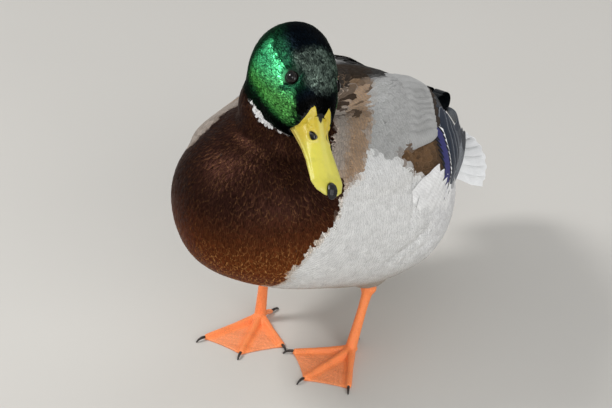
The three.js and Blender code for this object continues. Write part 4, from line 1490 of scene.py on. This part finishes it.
class DUCK_OT_wings(bpy.types.Operator):
    """Tertials, secondaries with their coloured patch, primaries and the white plumes of the flank"""

    bl_idname = "duck.wings"
    bl_label = "Wings"

    def execute(self, context):
        skin = skins["body"]
        # Stiff closed vanes: smooth, with a soft gloss along them.
        vanes = feather_material("flight_vanes", 0.45, gloss=0.18, strength=0.0)
        # Long loose vanes: matt, and pale where light goes into them.
        soft = feather_material(
            "plume_vanes", 0.55, gloss=0.15, strands=0.1, wave=2.2, strength=0.5, soft=0.3, hair=(1.2, 0.2)
        )
        for side, name in SIDES:
            large_feathers(f"speculum_{name}", self.secondaries(skin, side), vanes)
            tertials = self.tertials(skin, side)
            large_feathers(f"tertial_feathers_{name}", tertials, soft, wavy=0.6)
            large_feathers(f"flank_plumes_{name}", self.plumes(skin, side), soft, wavy=0.5)
            large_feathers(f"folded_primaries_{name}", self.folded(skin, side), vanes)
            tips, nodes, skew = self.primaries(side), [f"primaries_{name}"], -0.35 * side
            large_feathers(f"primary_feathers_{name}", tips, vanes, nodes, skew=skew)
        return {"FINISHED"}

    def tertials(self, skin, side):
        """Long soft feathers laid one over the other beside the back, the lowest ones dark."""
        rows, dark = 13, 6
        share = np.linspace(0, 1, rows)
        lifted = 1.0 if side > 0 else 0.4
        feathers = []
        angles = np.concatenate([np.linspace(39, 62, dark), np.linspace(40, 74, 13)])
        for i, angle in enumerate(angles):
            under = i < dark
            tip = np.interp(angle, [40, 47, 53, 59, 66, 74], [50, 63, 74, 84, 93, 101]) + 10 * under
            height = (0.9 if under else 1.2) * lifted
            rise = np.interp(share, [0, 0.3, 1], [-2.0, 0.1, height]) + 0.04 * i * lifted
            line, up = over_skin(skin, side, (tip - 42, angle + 4), (tip, angle), share, rise)
            half = 6.5 * np.interp(share, [0, 0.2, 0.7, 0.9, 1], [0.4, 0.95, 0.9, 0.6, 0.15])
            base = hue("covert") * 0.2 if under else hue("scapular") * (0.9 + 0.03 * math.sin(2.4 * i))
            if side < 0 and angle > 58:
                base = hue("mantle")
            feathers.append((line, up, half, even(base, rows), base, 0.0))
        return feathers

    def secondaries(self, skin, side):
        """Brown at the root, then black, purple-blue and black bars and a white edge at the tip."""
        share = np.array([0, 0.2, 0.35, 0.42, 0.43, 0.48, 0.49, 0.54, 0.55, 0.7, 0.82, 0.83, 0.9, 0.91, 1.0])
        brown, white, black, blue = hue("covert") * 0.5, hue("tail"), hue("rump"), hue("speculum")
        bars = [brown] * 6 + [black] * 2 + [blue] * 3 + [black] * 2 + [white] * 2
        feathers = []
        for i in reversed(range(14)):
            angle = 38 - 2.2 * i
            tip = np.interp(angle, [8, 22, 30, 38], [56, 50, 53, 58])
            rise = np.interp(share, [0, 0.42, 0.5, 1], [-1.0, -0.4, 0.4, 1.1]) + 0.04 * (13 - i)
            line, up = over_skin(skin, side, (tip - 27, angle - 3), (tip, angle + 1), share, rise)
            half = 4.5 * np.interp(share, [0, 0.2, 0.8, 0.95, 1], [0.7, 1.0, 1.0, 0.8, 0.35])
            feathers.append((line, up, half, np.array(bars), white, 0.0))
        return feathers

    def plumes(self, skin, side):
        """Broad soft white feathers of the rear flank, swept over the wing's lower edge."""
        rows = 9
        share = np.linspace(0, 1, rows)
        feathers = []
        for i in reversed(range(6)):
            end = np.array((33 + 5.0 * i, 28 - 3.6 * i))
            start = end - (27 - 1.5 * i, 15 - 1.2 * i)
            line, up = over_skin(skin, side, start, end, share, -0.5 + 2.0 * share**1.5 + 0.1 * (5 - i))
            half = 8.0 * np.interp(share, [0, 0.25, 0.6, 0.85, 1], [0.5, 0.95, 0.9, 0.55, 0.15])
            tone = blend(even(hue("flank"), rows), hue("stern"), share)
            feathers.append((line, up, half, tone, hue("tail"), 0.3))
        return feathers

    def folded(self, skin, side):
        """Slate vanes of the closed wing, one behind the other from its lower edge up over its rear."""
        rows = 15
        share = np.linspace(0, 1, rows)
        feathers = []
        for i in reversed(range(6)):
            y = np.interp(share, [0, 0.35, 0.65, 1], [52 + 5 * i, 54 + 8 * i, 64 + 7 * i, 84 + 3.5 * i])
            angle = np.interp(share, [0, 0.35, 0.65, 1], [6, 26 - 2 * i, 40 - 2.2 * i, 48 - 2.4 * i])
            rise = np.interp(share, [0, 0.15, 1], [-1.0, 0.3, 0.9]) + 0.12 * (5 - i)
            line, up = [], []
            for place in zip(y, angle, rise):
                here, normal = over_skin(skin, side, place[:2], place[:2], [0], [place[2]])
                line += here
                up += normal
            half = 5.2 * np.interp(share, [0, 0.2, 0.7, 0.92, 1], [0.5, 1.0, 0.95, 0.6, 0.15])
            tone = even(hue("slate") * (1.0 - 0.05 * i), rows)
            feathers.append((line, up, half, tone, PALE_EDGE, 0.75))
        return feathers

    def primaries(self, side):
        """The folded tips: a narrow fan of slate vanes with pale edges."""
        rows, vanes = 13, 8
        share = np.linspace(0, 1, rows)
        upper = np.array([(66, 60, 144), (47, 106, 134), (8, 148, 118)], float)
        lowest = np.array([(73, 54, 122), (47, 112, 111), (21, 160, 98)], float)
        feathers = []
        for i in range(vanes):
            first, middle, last = upper + (lowest - upper) * i / (vanes - 1)
            bend = 2 * middle - (first + last) / 2
            a, b, c = ((1 - share) ** 2, 2 * share * (1 - share), share**2)
            curve = a[:, None] * first + b[:, None] * bend + c[:, None] * last
            curve = curve * (side, 1, 1) + (TRUNK_SHIFT, 0, 0)
            normal = unit(np.array((side * 0.9, 0.35, 0.25)))
            half = 9.0 * np.interp(share, [0, 0.25, 0.6, 0.9, 1], [0.6, 1.0, 0.9, 0.5, 0.12])
            tone = even(hue("slate") * (1.0 - 0.05 * i), rows)
            line = curve + normal * (0.45 * (vanes - 1 - i) - 1.4)
            feathers.append((line, even(normal, rows), half, tone, PALE_EDGE, 0.75))
        return feathers


class DUCK_OT_tail(bpy.types.Operator):
    """The fan of the tail and the curled feathers over it"""

    bl_idname = "duck.tail"
    bl_label = "Tail"

    def execute(self, context):
        # Firm white vanes: nearly matt, and a little lit from within.
        white = feather_material("tail_vanes", 0.55, gloss=0.2, strength=0.0, soft=0.1)
        large_feathers("tail_feathers", self.fan(), white, ["tail"], crown=0.12)
        # Black vanes with a faint metal shine round their curl.
        glossy = feather_material("curled_vanes", 0.32, gloss=0.2, metallic=0.3, strength=0.0)
        for side, name in SIDES:
            curls, nodes = self.curls(side), [f"tail_curl_{name}"]
            large_feathers(f"curled_feathers_{name}", curls, glossy, nodes, crown=0.8)
        return {"FINISHED"}

    def fan(self):
        """White vanes from the outermost to the middle one, which lies on top and is the greyest."""
        rows = 13
        share = np.linspace(0, 1, rows)
        root = np.array((TRUNK_SHIFT, 108, 103))
        feathers = []
        for s in sorted(np.linspace(-1, 1, 11), key=lambda v: -abs(v)):
            yaw = math.radians(26) * s
            drop = math.radians(17 + 12 * s * s)
            length = 85 * (1 - 0.2 * abs(s) ** 1.5)
            way = np.array((math.sin(yaw) * math.cos(drop), math.cos(yaw) * math.cos(drop), -math.sin(drop)))
            start = root + (s * 10, 0, -3 * abs(s) + 0.6 * (1 - abs(s)))
            line = start + share[:, None] * length * way + (0, 0, 1) * np.sin(share * np.pi)[:, None]
            half = 13 * np.interp(share, [0, 0.2, 0.75, 0.93, 1], [0.4, 0.65, 1.0, 0.85, 0.45])
            shade = np.full(rows, max(0.0, 0.5 - 0.8 * abs(s)))
            tone = blend(even(hue("tail"), rows), hue("scapular"), shade)
            up = even(unit(np.array((0.9 * s, 0.2, 1))), rows)
            feathers.append((line, up, half, tone, hue("tail"), 0.3))
        return feathers

    def curls(self, side):
        """Two broad glossy vanes, one in the other's coil."""
        leading, coiled = 7, 23
        rows = leading + coiled
        feathers = []
        for i, size in enumerate((1.0, 0.8)):
            radius = 8.5 * size * (1 - 0.3 * np.linspace(0, 1, coiled))
            angles = np.radians(-85 + np.linspace(0, 250 - 15 * i, coiled))
            centre = np.array((TRUNK_SHIFT + side * (6.5 + 0.6 * i), 144 - 4 * i, 127 + 1.2 * i))
            coil = centre + np.stack([0 * angles, np.cos(angles) * radius, np.sin(angles) * radius], 1)
            root = np.array((TRUNK_SHIFT + side * 9, 110, 126 + i))
            bend = np.array((TRUNK_SHIFT + side * 8, 131, 116.5 + i))
            t = np.linspace(0, 1, leading + 1)[:-1, None]
            lead = (1 - t) ** 2 * root + 2 * t * (1 - t) * bend + t**2 * coil[0]
            line = np.concatenate([lead, coil])
            up = unit(np.cross(np.gradient(line, axis=0), np.array((-1.0, 0, 0))))
            share = np.linspace(0, 1, rows)
            half = 5.4 * np.interp(share, [0, 0.2, 0.6, 0.92, 1], [0.7, 1.0, 0.95, 0.55, 0.2])
            feathers.append((line, up, half, even(hue("rump"), rows), hue("rump"), 0.0))
        return feathers


AIM_AT = (0.0, 0.0, 106.0)  # what lamps and camera are turned to
VIEW = (35, 30)  # degrees from the bird's front round to its left, and up
LENS = 257.65  # focal length on a sensor 36 mm wide
# Place of each lamp from the aim, its distance and size in metres, and its power in watts.
LAMPS = {
    "key": ((-0.55, -0.35, 0.8), 1.5, 0.4, 11.5),
    "fill": ((0.9, -0.6, 0.5), 1.8, 1.2, 18.0),
    "rim": ((0.1, 1.3, 1.0), 1.6, 0.9, 3.0),
}


class DUCK_OT_stage(bpy.types.Operator):
    """Pale floor, soft studio light and the camera"""

    bl_idname = "duck.stage"
    bl_label = "Stage"

    def execute(self, context):
        scene = context.scene
        bpy.ops.object.select_all(action="DESELECT")
        bpy.ops.mesh.primitive_circle_add(vertices=96, radius=6, fill_type="NGON", location=(0, 0, 0))
        floor = context.object
        floor.name = "floor"
        material, tree = new_material("studio_floor")
        where = add(tree, "ShaderNodeTexCoord").outputs["Object"]
        cloud = add(tree, "ShaderNodeTexNoise", {"Vector": where, "Scale": 3.0, "Detail": 2.0})
        colour = shaded(tree, tuple(hue("floor")), cloud, 0.97, 1.0)
        matt = {"Base Color": colour, "Roughness": 0.8, "Specular IOR Level": 0.2}
        shader = add(tree, "ShaderNodeBsdfPrincipled", matt)
        add(tree, "ShaderNodeOutputMaterial", {"Surface": shader})
        floor.data.materials.append(material)
        self.world(scene)
        aim = Vector(to_model(AIM_AT))
        for name, lamp in LAMPS.items():
            self.lamp(name, aim, *lamp)
        self.camera(scene, aim)
        scene.view_settings.view_transform = "Standard"
        return {"FINISHED"}

    def world(self, scene):
        """Soft light from all round, before a pale backdrop that only the camera sees."""
        world = bpy.data.worlds.new("studio")
        scene.world = world
        world.use_nodes = True
        tree = world.node_tree
        tree.nodes.clear()
        path = add(tree, "ShaderNodeLightPath")
        rays = {0: path.outputs["Is Camera Ray"], 1: path.outputs["Is Transmission Ray"]}
        seen = add(tree, "ShaderNodeMath", rays, operation="MAXIMUM")
        soft = add(tree, "ShaderNodeBackground", {"Color": (0.97, 0.98, 1.0, 1), "Strength": 0.46})
        white = add(tree, "ShaderNodeBackground", {"Color": (0.93, 0.93, 0.92, 1), "Strength": 1.0})
        both = add(tree, "ShaderNodeMixShader", {0: seen, 1: soft, 2: white})
        add(tree, "ShaderNodeOutputWorld", {"Surface": both})

    def lamp(self, name, aim, way, distance, size, power):
        bpy.ops.object.light_add(type="AREA", location=aim + Vector(way).normalized() * distance)
        lamp = bpy.context.object
        lamp.name = name
        lamp.data.size = size
        lamp.data.energy = power
        lamp.rotation_euler = (aim - lamp.location).to_track_quat("-Z", "Y").to_euler()

    def camera(self, scene, aim):
        azimuth, elevation = (math.radians(degrees) for degrees in VIEW)
        level = math.cos(elevation)
        way = Vector((math.sin(azimuth) * level, -math.cos(azimuth) * level, math.sin(elevation)))
        bpy.ops.object.camera_add(location=aim + way * sizes().camera_distance)
        camera = bpy.context.object
        camera.rotation_euler = (-way).to_track_quat("-Z", "Y").to_euler()
        camera.data.sensor_width = 36
        camera.data.lens = LENS
        camera.data.clip_end = 50
        scene.camera = camera


STEPS = (
    DUCK_OT_stage,
    DUCK_OT_skin,
    DUCK_OT_bill,
    DUCK_OT_legs,
    DUCK_OT_eyes,
    DUCK_OT_coat,
    DUCK_OT_wings,
    DUCK_OT_tail,
)


class DUCK_PT_build(bpy.types.Panel):
    """Sizes, colours and steps of the drake"""

    bl_idname = "DUCK_PT_build"
    bl_label = "Mallard Drake"
    bl_space_type = "VIEW_3D"
    bl_region_type = "UI"
    bl_category = "Mallard"

    def draw(self, context):
        for group in (context.scene.duck_sizes, context.scene.duck_colours):
            box = self.layout.box()
            for name in group.__annotations__:
                box.prop(group, name)
        for step in STEPS:
            self.layout.operator(step.bl_idname)


CLASSES = (DuckSizes, DuckColours, *STEPS, DUCK_PT_build)


def register():
    for each in CLASSES:
        bpy.utils.register_class(each)
    bpy.types.Scene.duck_sizes = bpy.props.PointerProperty(type=DuckSizes)
    bpy.types.Scene.duck_colours = bpy.props.PointerProperty(type=DuckColours)


def unregister():
    del bpy.types.Scene.duck_colours
    del bpy.types.Scene.duck_sizes
    for each in reversed(CLASSES):
        bpy.utils.unregister_class(each)


def main():
    register()
    for step in STEPS:
        group, name = step.bl_idname.split(".")
        getattr(getattr(bpy.ops, group), name)()


if __name__ == "__main__":
    main()
